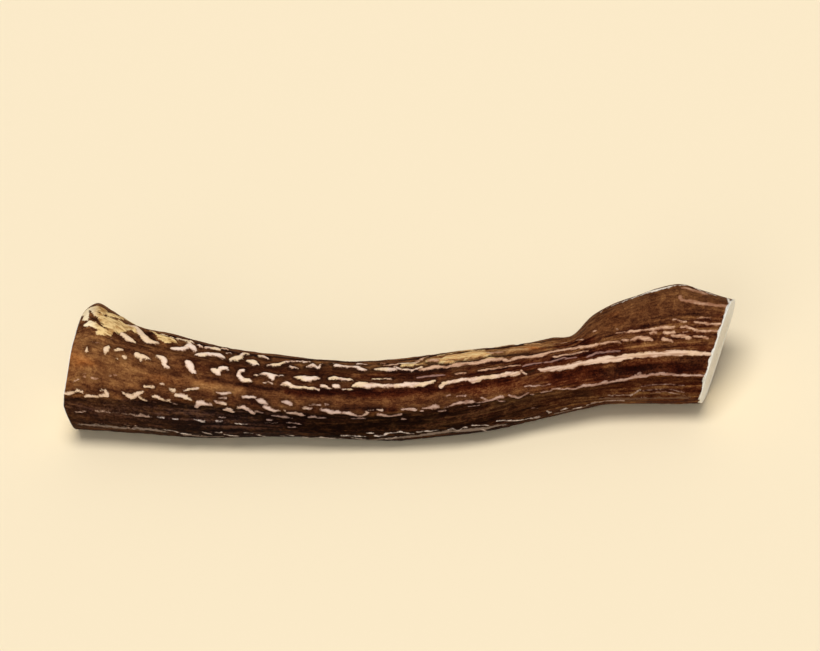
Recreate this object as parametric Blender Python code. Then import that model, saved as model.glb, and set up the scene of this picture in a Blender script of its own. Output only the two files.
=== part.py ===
"""A sawn length of a deer's antler beam, lying on its side: one solid that grew in one piece.

The beam bows a little towards the front, swells at its left end, and swells again at its right end into
the start of a fork. Its bark runs in long ridges, which break up into worn pearls towards the left end.
It is sawn off flat at both ends. Lengths are in millimetres, and MM turns them into metres at the end.
"""

import math

import bmesh
import bpy
import numpy as np

MM = 0.001

# The section is laid out on two directions square to the beam. The crest line runs up and back, and the
# face line runs up and forward, towards someone who looks down on the beam at this angle.
LEAN = math.radians(45)

# Both edges of the beam as that onlooker sees them: (along, across), with across growing up the crest line.
CREST_EDGE = [
    (-135, 24.5), (-125, 27.5), (-120, 31), (-117, 34.3), (-113.5, 36), (-108, 33.2), (-101, 28.3),
    (-93.5, 25.8), (-86, 24.7), (-75, 21.8), (-60, 18.4), (-41, 16.2), (-19, 14.9), (3, 15.6), (18, 17.2),
    (37, 19.7), (56, 23.1), (65, 24.8), (71, 31), (78, 35.3), (89, 39.5), (97, 42.4), (105, 43.6),
    (113, 41), (122, 37.8), (135, 34.7),
]
BELLY_EDGE = [
    (-135, -10.5), (-116, -11.5), (-101, -12.3), (-82, -13.1), (-60, -13.8), (-41, -14.1), (-19, -14.8),
    (0, -15), (16, -13.6), (31, -11.5), (46, -8.2), (61, -5.3), (76, -2.5), (89, -1.7), (105, -1.3),
    (122, -0.4), (135, 0.5),
]

# Half the beam's thickness from its axis: down to the belly edge, out to the face and out to the back.
TO_BELLY = [
    (-135, 22.5), (-118, 22.5), (-103, 20.5), (-88, 18), (-73, 17), (-44, 15.3), (0, 15.3), (45, 15.8),
    (75, 16.5), (98, 17.5), (120, 18), (135, 18),
]
TO_FACE = [
    (-135, 19), (-118, 19), (-88, 16), (-44, 14.3), (0, 14), (45, 14.5), (90, 16), (120, 16.5), (135, 16.5),
]
TO_BACK = [
    (-135, 18), (-118, 18), (-88, 15.5), (-44, 14), (0, 13.8), (45, 14.2), (90, 15.5), (120, 16), (135, 16),
]

# How far the beam's underside clears what it lies on, and how square its section is (2 is an ellipse).
LIFT = [(-135, 0), (-115, 0), (-60, 1.2), (-5, 0), (60, 1.2), (112, 0), (135, 0)]
SQUARENESS = [(-135, 2.3), (-90, 2.1), (0, 2.0), (80, 2.2), (108, 2.7), (120, 3.2), (135, 3.2)]

# The saw's planes, as along = start + rise * across + turn * depth, with depth growing along the face line.
# The last one takes off the lower corner of the left end.
LEFT_SAW = (-122.2, 0.165, -0.1)
RIGHT_SAW = (113.9, 0.32, -0.115)
LEFT_CORNER_SAW = (-123.2, -0.3, -0.1)
SAW_BLOCK = 120

# The grid that the bark's relief is worked out on, the share of its faces that the solid keeps, and the
# turn above which an edge stays sharp, as at the sawn ends.
ROWS = 440
COLUMNS = 168
KEPT_FACES = 0.062
SHARP_DEGREES = 40

# The relief. A pearl at the left end stands this proud, and from one place along the beam to the next it is
# worn down to a streak's height. A worn patch is lower and broad, and this is how wide their flanks are.
PEARL_HEIGHT, STREAK_HEIGHT, PATCH_HEIGHT = 0.8, 0.35, 0.5
WORN_FROM, WORN_TO = -50, 30
PEARL_FLANK, FLANK_REACH = 0.4, 0.8
FINEST_PEARL = 0.3

# The worn pearls and streaks that the photograph shows, in its pixels: cream ones, tan ones, dim ones on the
# lower flank and grey ones along the belly's edge, then the broad patches worn down to bone. Each is a line
# of (x, y, half its width), and a pixel is this many millimetres on the beam. A line is cut into this many
# steps a stroke, and where its half width stays under FINEST_PEARL it is too fine for the solid.
MM_PER_PIXEL = 0.3731
PIXEL_AT_ORIGIN = (401, 400)
STEPS_PER_STROKE = 6
CREAM_PEARLS = [
    [(122, 334, 1.8), (126, 337, 2.5), (130, 339.2, 2.3), (136.4, 342, 0.7)],
    [(128.5, 327.5, 1.6), (135.5, 329.6, 2.4), (140, 334.2, 3.2), (144.5, 338.7, 3.4), (148, 342.4, 2.5),
     (157.3, 343.7, 1.3)],
    [(149, 332, 0.9), (156.4, 335, 1.6), (162, 338.7, 3.2), (166.4, 342, 2.7), (174.5, 342.8, 1.6)],
    [(162, 336, 1), (173.6, 340.5, 1)],
    [(171, 348.3, 1.1), (177.3, 349.2, 2), (182.7, 349.2, 2), (189, 347, 2.5), (193.6, 348.3, 2.3),
     (196.4, 350.5, 0.9)],
    [(176.4, 340.5, 0.8), (185.5, 341.5, 0.8), (192.7, 343, 0.7)],
    [(190, 344.2, 1.4), (190.5, 346, 1.6)],
    [(196.4, 354.5, 0.9), (201, 354.3, 2), (207.3, 353.4, 1.6), (213.6, 352.7, 1.6), (220, 354, 2.5),
     (222.7, 356.4, 1.4)],
    [(199, 346, 1.8), (203, 347, 1)],
    [(207.3, 348.6, 1.1), (218, 348.8, 1.1)],
    [(222, 348, 0.7), (226, 348.5, 0.7)],
    [(225.5, 352.3, 0.5), (232, 352.7, 0.5)],
    [(230, 358.2, 1.3), (235.5, 357.3, 2.7), (240, 356.4, 3.2), (244.5, 353.6, 1.4), (249, 354.5, 0.9)],
    [(249, 360, 1.6), (252.7, 360.5, 3), (256.4, 361, 1.4)],
    [(259, 355.5, 1.1), (263.6, 356.4, 2), (268.2, 358.2, 1.3)],
    [(267.3, 363.6, 1.1), (273.6, 363.2, 1.8), (281, 362.7, 1.3), (285.5, 360.5, 1.3), (289, 361.4, 0.9),
     (299, 361.4, 0.7), (311, 362.3, 1.1)],
    [(290, 365, 0.9), (294.5, 366.8, 1.6), (299, 367.7, 0.7)],
    [(306.4, 366.4, 0.7), (311.8, 365, 1.8), (317.3, 367.3, 1.4), (322.7, 364.5, 1.1)],
    [(295.5, 377.7, 0.9), (299, 377.7, 2), (308, 378.6, 2.7), (315.5, 378.6, 2.5), (319, 379, 1.1)],
    [(212.3, 369.5, 1.1), (216.4, 370.5, 2.5), (218.2, 372.3, 2.3), (221, 368.6, 2), (226.4, 367.7, 1.6),
     (229, 370, 0.9)],
    [(244.5, 370, 1.6), (241, 370.5, 2.3), (239.5, 375, 2), (242.7, 378.6, 2.3), (248.2, 379.5, 2.3),
     (251, 380.5, 1.1)],
    [(255, 375, 0.7), (262.7, 373.6, 1.3), (268.2, 373.6, 1.6), (271.8, 376, 2.9), (276.4, 375, 0.9),
     (282.7, 375, 0.7)],
    [(271.8, 376, 2.4), (272.3, 379, 1.4)],
    [(264.5, 382.3, 0.7), (268.2, 381.4, 0.7), (271.8, 382.7, 0.6)],
    [(281, 385.5, 0.7), (286.4, 384, 2.3), (291, 386, 1.6), (299, 387.7, 1.8), (303.6, 387.7, 1.3),
     (311, 389, 1.3), (319, 390, 0.9)],
    [(320, 385, 0.9), (323.6, 386.4, 2), (330, 387.7, 1.1)],
    [(334, 386, 2.3), (339, 386, 2.3)],
    [(342.7, 389, 0.6), (352.7, 389, 0.6)],
    [(329, 379.5, 1.3), (333.6, 378.6, 1.8), (340, 380, 2), (347.3, 380.5, 1.3), (354.5, 381, 0.5)],
    [(331, 363.7, 0.6), (335.5, 364, 0.6)],
    [(336.4, 366, 1.8), (340, 366.4, 2.3), (343.6, 367.3, 1.4), (351.8, 367.3, 1.1), (358.2, 368.2, 2.5),
     (362.7, 370, 2.5), (367.3, 370.5, 0.7)],
    [(356.4, 364, 1.1), (361, 364.3, 1.3), (367.7, 364.5, 0.7)],
    [(373.6, 369.5, 0.7), (380, 369, 1.6), (387.3, 369.5, 2.3), (392.7, 369.4, 2), (396.4, 369, 0.9)],
    [(399, 363.6, 1.1), (406.4, 363.6, 1.5), (415.5, 363.6, 1.5), (418.5, 362.5, 0.8)],
    [(398, 368.2, 0.9), (404.5, 369, 1.3), (411, 370, 1.5), (417.3, 368.2, 1.3), (421, 366, 1.3)],
    [(373.6, 379.7, 0.5), (382.7, 379.5, 0.7), (391.8, 379.5, 0.5)],
    [(353.6, 386.4, 1.2), (357.3, 385.3, 2.2), (362.7, 385, 2.5), (368.2, 386, 2.8), (373.6, 385.5, 1.8),
     (378.2, 384.7, 1.6), (383.6, 386, 1.3), (387.3, 386, 2.2), (395.5, 385.8, 2.4), (400, 385, 2.3),
     (407.3, 384.5, 2.3), (415.5, 384.5, 2.2), (422.7, 384.8, 2.3), (427.3, 383.2, 1.8), (434.5, 381, 1.1)],
    [(441, 386, 1.8), (443.6, 383.2, 2), (450, 381, 2), (459, 379.5, 2), (467.3, 378.6, 1.6),
     (471.8, 379.5, 3.2), (479, 378.6, 3.2), (482.7, 376.8, 2.5), (491, 375.5, 2.3), (500, 374, 2.5),
     (508.2, 373.6, 2.5), (515.5, 373.2, 2.5), (519, 372.3, 1.8)],
    [(521, 370.5, 1), (525.5, 374, 1.2)],
    [(537.7, 369.5, 0.9), (542.7, 369.5, 2), (550, 369, 2.5), (559, 368.2, 2.5), (568.2, 366.4, 2.5),
     (577.3, 364, 2.4), (588.8, 362, 2.6), (599.9, 359.9, 3.2), (608.7, 359.3, 3.4), (617.5, 358.2, 3.2),
     (626.4, 356, 2.8), (637.4, 354.4, 2.8), (648.4, 353.8, 2.6), (659.5, 354.4, 2.7), (668.3, 353, 3.1),
     (679.3, 353, 3.1), (690.4, 353.2, 2.6), (701.4, 353.8, 2), (712.5, 353.5, 1.8)],
    [(88.7, 348.8, 0.9), (88.4, 351.5, 1.7)],
    [(109, 347, 1.6), (106, 350.5, 2.9), (105, 354.2, 1.1)],
    [(114.5, 351, 0.6), (120, 349.6, 1.5), (123.6, 350.5, 0.9)],
    [(124, 356.6, 0.9), (127, 357.6, 1.3)],
    [(116.5, 358.7, 0.8), (118, 358.7, 0.8)],
    [(137.3, 355, 2.3), (140.5, 357, 2.7), (144.5, 357.4, 2), (151, 360, 0.5)],
    [(140.5, 358, 1.8), (140.5, 360.5, 1)],
    [(157.3, 357.4, 1.1), (161.8, 358.7, 2), (165.5, 361.5, 2.7), (166.4, 365.5, 2), (171, 367.4, 0.5)],
    [(165, 363, 1.8), (163, 365, 1.2)],
    [(187.3, 363.3, 2), (190, 365, 3.4), (191, 368.7, 3.2), (192.7, 371.2, 2), (196.4, 372.5, 0.8)],
    [(65.5, 392.5, 1.1), (70, 393.5, 1.3), (74.5, 391.2, 1.1), (79, 390.7, 1.3), (83.6, 391.8, 0.5)],
    [(83.6, 395.3, 0.9), (90, 394.8, 1.5), (98.2, 395.3, 1.1), (103.6, 394, 1.3), (108.2, 394.4, 1.3)],
    [(101, 389.4, 0.8), (105.5, 389.4, 1.1), (107.3, 392.5, 2)],
    [(123.6, 392.5, 1.1), (129, 394.4, 1.8), (132.7, 396.2, 2.3), (138.2, 393, 1.8), (142.7, 391.6, 0.9)],
    [(132.7, 396.4, 1.6), (132.7, 398.7, 0.6)],
    [(140, 397, 0.9), (147.3, 400.3, 1.3)],
    [(144.5, 386.6, 1.6), (149.5, 386.6, 1.5), (154.5, 387.3, 0.6)],
    [(160, 383, 0.7), (164, 384.3, 1.1)],
    [(170, 389.4, 1.1), (174, 390.3, 1.8)],
    [(184.5, 390.7, 0.9), (187.3, 389.4, 1.3), (199, 389, 1.1)],
    [(153.6, 397, 0.9), (159, 397, 1.6), (163.6, 399, 1.6), (170, 400.3, 0.7)],
    [(175.5, 395.7, 1.1), (181, 395.3, 2), (186.4, 397, 2.2), (191, 399, 0.7)],
    [(196.4, 407.3, 1.4), (199, 403.6, 2.7), (202.7, 403.2, 2.9), (207.3, 404, 1.8), (212.7, 403.8, 0.5)],
    [(216.4, 392.7, 0.9), (223.6, 393.6, 1.6), (230, 392.3, 0.8)],
    [(221, 398, 0.9), (225.5, 397.7, 0.9)],
    [(215.5, 400.5, 0.9), (220, 401.4, 1.5), (224.5, 403.2, 1.3), (227.3, 403.8, 0.5)],
    [(224, 409, 1.3), (229, 409.5, 2.7), (233.6, 411, 1.8)],
    [(238.2, 406, 0.9), (244.5, 406.4, 1.6), (249, 408.2, 1.6), (252.7, 411.8, 1.6), (254.5, 412.7, 1.2)],
    [(242.7, 396.8, 1), (248.2, 396.4, 2), (255.5, 397.3, 0.9)],
    [(258.2, 399.5, 1.4), (262.7, 401, 2.7), (267.3, 402.7, 1.1)],
    [(264.5, 405, 1.3), (270, 407.3, 1.8), (275.5, 409.5, 1.5), (280, 409.5, 0.7)],
    [(282.7, 401.4, 0.9), (287.3, 401.8, 2), (291, 403.6, 1.6)],
    [(285.5, 409.5, 1.1), (290, 411.4, 1.3), (295.5, 411.4, 1.6), (301, 413.2, 1.6), (304.5, 414, 0.7)],
    [(302.7, 407.3, 0.7), (307.3, 407.3, 1.3), (311.8, 407.7, 0.5)],
    [(310, 404.5, 0.6), (320, 404.7, 0.6)],
    [(321, 408.8, 1.1), (325.5, 409.5, 1.8), (331.8, 411.4, 1.8), (336.4, 411.4, 1.5), (342.7, 412, 1.3),
     (349, 412.3, 2), (353.6, 414, 1.3), (359, 415.5, 1.3), (363.6, 415, 1.3), (367.3, 411.8, 1.5)],
    [(368.2, 409.5, 0.4), (378.2, 409.4, 0.6), (381.8, 409.7, 1.3)],
    [(401.4, 408.6, 1.1), (406.4, 408.5, 2), (414.5, 408.5, 2.4)],
]
TAN_PEARLS = [
    [(383.6, 366, 0.9), (390, 364.5, 0.9), (397.3, 365, 0.7)],
    [(380, 362.7, 0.7), (385.5, 363.2, 0.7)],
    [(416.4, 361.4, 1.4), (421, 359.5, 1.6), (427.3, 357.7, 0.9)],
    [(427.3, 361.4, 1.5), (433, 361, 2.3), (438, 361, 1.8)],
    [(419, 369.5, 1.1), (426.4, 368.6, 1.5), (433.6, 366.8, 1.6), (442.7, 366.8, 1.6), (455.5, 364.5, 1.6),
     (463.6, 363.2, 1.8), (471, 362.7, 1.8), (478.2, 361.8, 1.8), (484.5, 361.4, 1.6), (491, 359.5, 1.8),
     (500, 359.5, 1.5), (509, 359.5, 1.3), (515.5, 357.7, 2), (521.8, 356.4, 1.6), (528.2, 356.4, 1.3),
     (533.6, 356, 2.3), (541, 354.5, 2.6), (546.4, 353.2, 2.1), (550, 351.4, 1.6), (559, 349.5, 2.1),
     (568.2, 348.2, 1.9), (577.3, 346.8, 1.8), (588.8, 346, 1.6), (600, 343.3, 1.4), (608.7, 342, 1.4),
     (620.8, 342, 1)],
    [(552.7, 356, 0.8), (568.2, 354, 0.9), (577.3, 351.8, 0.8), (587.7, 350.5, 1)],
    [(488, 354, 1.1), (495.5, 353.2, 1.6), (502.7, 352.7, 1.2)],
    [(478.2, 370, 0.7), (486.4, 368.6, 1.1), (495.5, 367.3, 1.1), (504.5, 366, 0.9), (513.6, 365, 0.7),
     (520, 364.5, 0.8)],
    [(455.5, 372.7, 1.1), (461, 371.8, 1.3), (465, 371.5, 1)],
    [(554.5, 342.3, 0.7), (566.4, 341.2, 0.8)],
    [(577.3, 338.8, 0.9), (583.6, 338.6, 1)],
    [(594, 330.8, 1.2), (595, 330.8, 1.2)],
    [(612, 328.5, 0.6), (612.5, 328.5, 0.6)],
    [(617, 329, 0.7), (618, 329, 0.7)],
    [(616.4, 333.5, 0.9), (624, 332.4, 0.9), (635, 331.3, 1.1), (646, 330.8, 1.1), (655, 330, 1.1),
     (664, 328.6, 1.5), (673.8, 328, 1.1)],
    [(680.5, 327.5, 1.1), (686, 328, 1.3), (691.5, 330.2, 1.1), (699.2, 331.9, 1.3), (708, 331.7, 1.1),
     (717, 331.3, 1.1)],
    [(649.5, 334, 1.1), (656, 333.5, 1.3)],
    [(664, 333.5, 1.1), (673.8, 333.5, 1.2)],
    [(681.5, 333, 0.8), (687, 333, 0.8)],
    [(672.7, 336.8, 1.3), (679.3, 336.8, 1.7), (690.4, 338.5, 1.2)],
    [(693.7, 336.8, 1.1), (701.4, 336.8, 1.1), (708, 338, 1.5)],
    [(664, 339, 1.6), (672.7, 341.3, 0.9)],
    [(629.7, 340.7, 0.9), (637.4, 337.4, 1.3), (645, 338.5, 1.7), (651.7, 340, 1.2)],
    [(623, 340.2, 0.9), (627.5, 340.2, 0.9)],
    [(673.8, 320.3, 1), (679.3, 322, 0.8), (686, 322.5, 0.8)],
    [(693.7, 323, 1), (703.6, 323.6, 1.2), (712.5, 324.7, 1.1), (721, 324.7, 1.1)],
    [(697, 318.6, 0.6), (710, 318.4, 0.6)],
    [(681.5, 301.5, 0.7), (691.5, 302, 0.9), (701.4, 304.3, 1.1), (710.3, 305.4, 1.3), (718, 305.4, 1.2),
     (728, 306, 1.3)],
    [(685, 287.7, 0.9), (696, 290.5, 1.1), (706, 293.8, 0.9)],
    [(679, 297.5, 0.8), (683, 299, 0.6)],
    [(378, 414.5, 1.5), (382.7, 414.5, 1.8), (387.3, 416.4, 1.1), (392.7, 416, 1.1), (398.2, 415, 1.5),
     (401.8, 414.5, 1.8)],
    [(421.8, 407.7, 0.7), (429, 406.8, 1.5), (434.5, 406, 2.5), (439, 406.4, 1.6)],
    [(438, 411, 0.7), (445.5, 411, 0.7)],
    [(445.5, 407.3, 0.7), (450, 405.5, 0.9), (453.6, 403.6, 1.2), (459, 402.3, 1.5), (465.5, 401.8, 1.9),
     (473.6, 401.4, 1.5)],
    [(468.2, 406.8, 0.7), (480, 405, 0.6)],
    [(481.8, 398.6, 0.7), (488.2, 399.5, 1.1), (494.5, 399.5, 1.6), (499, 398.2, 1.6), (501.8, 399, 0.9),
     (505.5, 401.8, 0.7)],
    [(506.4, 395.5, 0.9), (511, 396, 1.8), (514.5, 397.7, 1.6), (520, 397.3, 1.4), (524.5, 396, 1.2)],
    [(521, 395, 1), (527.3, 393.2, 1), (530, 391.8, 0.7)],
    [(524.5, 386.4, 0.7), (531.8, 386, 0.9), (541, 385.3, 0.7), (550, 384, 0.5)],
    [(552.7, 388.2, 0.7), (561, 388, 0.9), (568.2, 387.7, 1.1), (573.6, 388.2, 1.3), (577.3, 386, 1.3),
     (586.6, 384.7, 2.1), (594.4, 384.2, 1.5), (604.3, 382.5, 1.5), (616.4, 380.3, 1.5), (627.5, 378.6, 1.5),
     (635.2, 375.9, 1.5), (641.8, 375.9, 1.5), (651.7, 375.1, 1.3), (662.8, 374.2, 1.3), (673.8, 375.1, 1.5),
     (684.9, 375.5, 1.3), (697, 375.9, 1.3), (704, 376.4, 1.1)],
    [(635, 374.5, 0.7), (641, 373, 0.7)],
    [(82, 374.5, 0.6), (87.3, 373.6, 0.6)],
    [(84, 377, 0.9), (86, 377, 0.9)],
    [(91.8, 377.5, 0.9), (98.6, 379, 0.8)],
    [(73.6, 381.6, 0.5), (79.5, 379.4, 0.5)],
    [(92.7, 341.5, 0.7), (99, 342.8, 0.7)],
    [(111.5, 337.8, 0.5), (113, 338, 0.5)],
    [(110, 375.6, 0.5), (117, 375.4, 0.5)],
    [(421, 410.5, 1), (423, 410.5, 1)],
    [(325.5, 404.5, 0.7), (329, 404.3, 0.7)],
]
DIM_PEARLS = [
    [(75.5, 413.5, 1), (80, 412.5, 0.9), (86, 412.5, 0.8)],
    [(96.4, 412.5, 0.5), (107.3, 412.5, 0.5), (116.4, 413.5, 0.5), (127.3, 414.4, 0.5), (137, 415.5, 1),
     (144, 415.5, 1.2), (151, 417, 0.8)],
    [(170.5, 402.5, 0.6), (178, 404.8, 0.6)],
    [(94.5, 424.8, 0.4), (104.5, 424.5, 0.4)],
    [(123.6, 424.8, 0.4), (131, 425.7, 0.4), (138, 424.8, 0.4)],
    [(127, 427, 0.7), (135.5, 428.5, 0.7)],
    [(219, 417.7, 0.8), (226, 418, 0.7)],
    [(256.4, 410.5, 1), (263.6, 411.4, 0.9)],
    [(267, 419, 1.2), (271, 419.5, 1)],
    [(264.5, 422.3, 0.4), (276.4, 422.7, 0.4)],
    [(272.7, 414.5, 0.7), (279, 415.5, 1.3), (285.5, 416.4, 1.3), (292.7, 417.3, 0.5)],
    [(286.4, 422.3, 0.5), (301.8, 424, 0.5)],
    [(289, 426.4, 0.8), (297, 427, 0.7)],
    [(308.2, 416.4, 1.1), (314.5, 416, 1.5), (320, 417.3, 0.9), (326.4, 417.7, 0.7)],
    [(352.3, 418.5, 0.6), (359, 418.2, 0.9), (365.5, 418.6, 0.6)],
    [(400.5, 420.7, 0.7), (406.4, 421, 0.5)],
    [(531, 408.2, 0.4), (537.3, 408.4, 0.4)],
    [(641, 388, 0.5), (652, 386.5, 0.6), (666, 386, 0.5), (684, 388, 0.5)],
    [(642, 392, 0.5), (657, 390.5, 0.5), (672, 391, 0.5), (685, 394, 0.5)],
    [(650.6, 394, 0.5), (664, 393, 0.5), (675, 394.2, 0.6), (686, 397, 0.5)],
    [(640.7, 397.4, 0.5), (657.3, 398, 0.5)],
]
GREY_GLINTS = [
    [(157, 417.3, 0.7), (164, 417.8, 0.7)],
    [(173, 418.8, 0.7), (179, 419.4, 0.7)],
    [(194, 420, 0.7), (200, 421, 0.9), (205, 421.6, 0.8)],
    [(217, 421.8, 0.6), (223, 422.2, 0.6)],
    [(235, 423.4, 0.6), (241, 424.2, 0.9), (247, 424.5, 0.5)],
    [(164, 428.4, 0.6), (172, 429.6, 0.9), (178, 430.8, 0.7)],
    [(181, 431.2, 0.7), (192, 432.6, 0.7)],
    [(203, 430.8, 0.7), (208, 432, 1), (212, 433, 0.7)],
    [(214, 431.2, 0.5), (222, 431.6, 0.5)],
    [(224, 433, 0.8), (230, 434.4, 1.2), (240, 435.2, 0.8)],
    [(280, 435.8, 0.5), (285, 436.4, 0.5)],
    [(244, 432, 0.6), (252, 433, 0.6)],
    [(257, 434.3, 0.6), (265, 436.5, 0.8)],
    [(286, 434.8, 0.8), (292.6, 435.8, 0.8)],
    [(302, 437, 1), (307, 438, 1.3), (312, 439.3, 0.9)],
    [(314, 438.8, 0.7), (321, 436.6, 0.8), (329, 437.8, 0.9), (336, 438.2, 0.7), (344, 438.3, 0.7)],
    [(340, 435.2, 0.5), (352, 435.8, 0.5), (365, 436.6, 0.6)],
    [(353, 438.2, 0.7), (360, 438.8, 1), (366, 439.4, 0.6)],
    [(367, 434.3, 0.8), (373, 434.3, 0.9)],
    [(375.5, 436.4, 0.8), (383, 436.4, 0.7), (387, 435, 1), (391, 434.8, 0.8), (400, 432.7, 0.7)],
    [(385, 439.2, 0.9), (391, 439.5, 0.9), (397, 438, 1.3)],
    [(400.5, 433, 0.8), (407, 434, 0.8), (414.5, 434.8, 0.6)],
    [(417.6, 432.7, 1.1), (421, 432.4, 1)],
    [(424, 431.8, 0.6), (432, 431, 0.6), (438.7, 429.8, 0.7)],
    [(448, 429, 0.7), (453, 428, 0.7), (458, 429.6, 0.7), (463, 426.6, 0.7), (467, 426.3, 0.6)],
    [(472, 424.3, 0.6), (488, 424.1, 0.6)],
    [(480.5, 427.6, 0.9), (487.5, 428.6, 0.8)],
    [(496.5, 419.6, 0.6), (508, 419.2, 0.6), (520, 418.8, 0.6), (526, 418.2, 0.8)],
    [(528, 417.9, 0.8), (534, 417, 1), (540, 416, 1)],
    [(546, 410.8, 0.7), (549, 412.6, 1.5), (551.5, 412, 0.8)],
    [(560, 410.8, 0.8), (564, 409.4, 0.7), (568, 408.5, 0.6)],
    [(574, 409, 0.8), (581, 407.6, 1)],
    [(589, 405.4, 0.8), (593, 403.5, 0.9), (600, 402.3, 0.6), (608, 401, 0.7), (617, 400.5, 0.6),
     (625, 400.5, 0.6)],
    [(608, 394.8, 0.7), (620, 394.3, 0.8), (630, 394.6, 0.7)],
    [(630.8, 395.2, 0.9), (639.6, 391.3, 0.9)],
]
WORN_PATCHES = [
    [(91, 308.5, 4.4), (97, 308.5, 5.2), (103, 311.6, 5.4), (110, 315.2, 4.6), (117, 317.6, 4.2),
     (124, 320.2, 3.6), (133, 323, 1.8)],
    [(94, 311.4, 2), (100, 315, 2.6), (107.3, 320.6, 5.6), (114.5, 323.6, 7.8), (121.8, 325.6, 6.2),
     (127, 328, 3.2)],
    [(85, 324.6, 2.6), (90, 323.3, 3.8), (94.5, 324.6, 3.2), (99, 327.6, 2.8), (103.6, 330, 2.8),
     (110, 332, 2.2)],
    [(86, 311, 3.4), (86, 318, 3.4)],
    [(98.5, 332.7, 1.4), (106, 333.3, 1.1)],
    [(124, 326, 2.2), (131, 329.5, 2.8), (138, 333.5, 2.8), (146, 339, 2.4), (155, 343, 1.2)],
    [(144, 332, 0.8), (152, 334.5, 2), (160, 337.5, 2.8), (168, 340, 2.4), (176, 342.5, 1.2)],
    [(600, 312.4, 0.3), (612, 306.2, 0.8), (626, 300.8, 0.8), (640, 296, 1.1), (650, 292, 1.9),
     (661, 289, 2.5), (668, 287.4, 1.9), (675, 285.7, 1.1), (685, 285.2, 0.9), (695, 288, 0.9),
     (704, 291.8, 0.9), (716, 296.4, 0.6)],
]

# Broad ridges and furrows that those lines follow: the line in the same pixels, half its width in
# millimetres and its height. The second ridge is the sharp turn to the beam's lower flank. Each fades out
# over this many times half its width.
FORM_REACH = 4
BROAD_FORMS = [
    ([(60, 370), (150, 373), (250, 386), (330, 396), (430, 396), (560, 378), (735, 365)], 5.5, -0.9),
    ([(60, 394), (150, 397), (260, 407), (370, 413), (440, 406), (550, 387), (660, 375), (735, 378)],
     2.2, 1.0),
    ([(60, 404), (150, 408), (260, 419), (370, 427), (440, 418), (550, 399), (660, 385), (735, 388)],
     3.2, -0.8),
    ([(60, 350), (150, 356), (250, 372), (370, 382), (450, 380), (560, 366), (660, 352), (735, 353)],
     3.0, 0.5),
    ([(60, 335), (130, 340), (250, 365), (370, 375), (450, 372), (560, 358), (660, 345), (735, 345)],
     2.4, -0.6),
]

# Slow lumps of the beam under its bark: their height, the millimetres along it for a radian of their wave,
# and the waves round it.
SLOW_LUMPS = [(0.35, 17.0, 2), (0.3, 9.5, -3)]

BEAM_START, BEAM_END = -135.0, 135.0

# The pearls on the sides that the photograph doesn't show: how many, out of how many tries each takes its
# place, and the degrees round from the crest towards the face, at the left and the right end of the beam,
# that they lie between. They spread over these millimetres along and round the beam, with the length drawn
# in, because pearls lie lengthwise.
FAR_PEARLS, FAR_TRIES, FAR_SEED = 185, 16, 11
FAR_FIRST_DEGREES, FAR_LAST_DEGREES = (192, 197), (349, 322)
FAR_SPREAD = (140, 42)

# More of them lie towards the left end, and to the right they grow longer and join into streaks. At the left
# and at the right end a pearl slants and bends by up to these degrees. Its half width is drawn at each of
# its points as a share of its own greatest one.
FAR_CROWDING = 0.6
FAR_LENGTH, FAR_STREAK, FAR_LENGTH_SPREAD = 1.8, 13, 0.6
FAR_SLANT, FAR_BEND = (9, 1), (3, 1)
FAR_POINTS, FAR_HALF_WIDTH, FAR_TAPER = 4, (0.45, 1.2), (0.35, 1)


def curve_through(stations, at):
    """A smooth curve through (place, value) stations: cubic pieces, with slopes from their neighbours."""
    place, value = np.array(stations, float).T
    slope = np.gradient(value, place)
    i = np.clip(np.searchsorted(place, at) - 1, 0, len(place) - 2)
    width = place[i + 1] - place[i]
    t = np.clip((at - place[i]) / width, 0, 1)
    start = (1 + 2 * t) * (1 - t) ** 2 * value[i] + t * (1 - t) ** 2 * width * slope[i]
    end = t * t * (3 - 2 * t) * value[i + 1] + t * t * (t - 1) * width * slope[i + 1]
    return start + end


def smooth_step(low, high, value):
    t = np.clip((value - low) / (high - low), 0, 1)
    return t * t * (3 - 2 * t)


def section_radius(along, angle):
    """Distance from the axis to the smooth beam: a superellipse with its own half-size on each side."""
    belly = curve_through(TO_BELLY, along)
    crest = curve_through(CREST_EDGE, along) - curve_through(BELLY_EDGE, along) - belly
    face = curve_through(TO_FACE, along)
    back = curve_through(TO_BACK, along)
    power = curve_through(SQUARENESS, along)
    up, out = np.cos(angle), np.sin(angle)
    height = np.abs(up) / np.where(up > 0, crest, belly)
    width = np.abs(out) / np.where(out > 0, face, back)
    return (height**power + width**power) ** (-1 / power)


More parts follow.
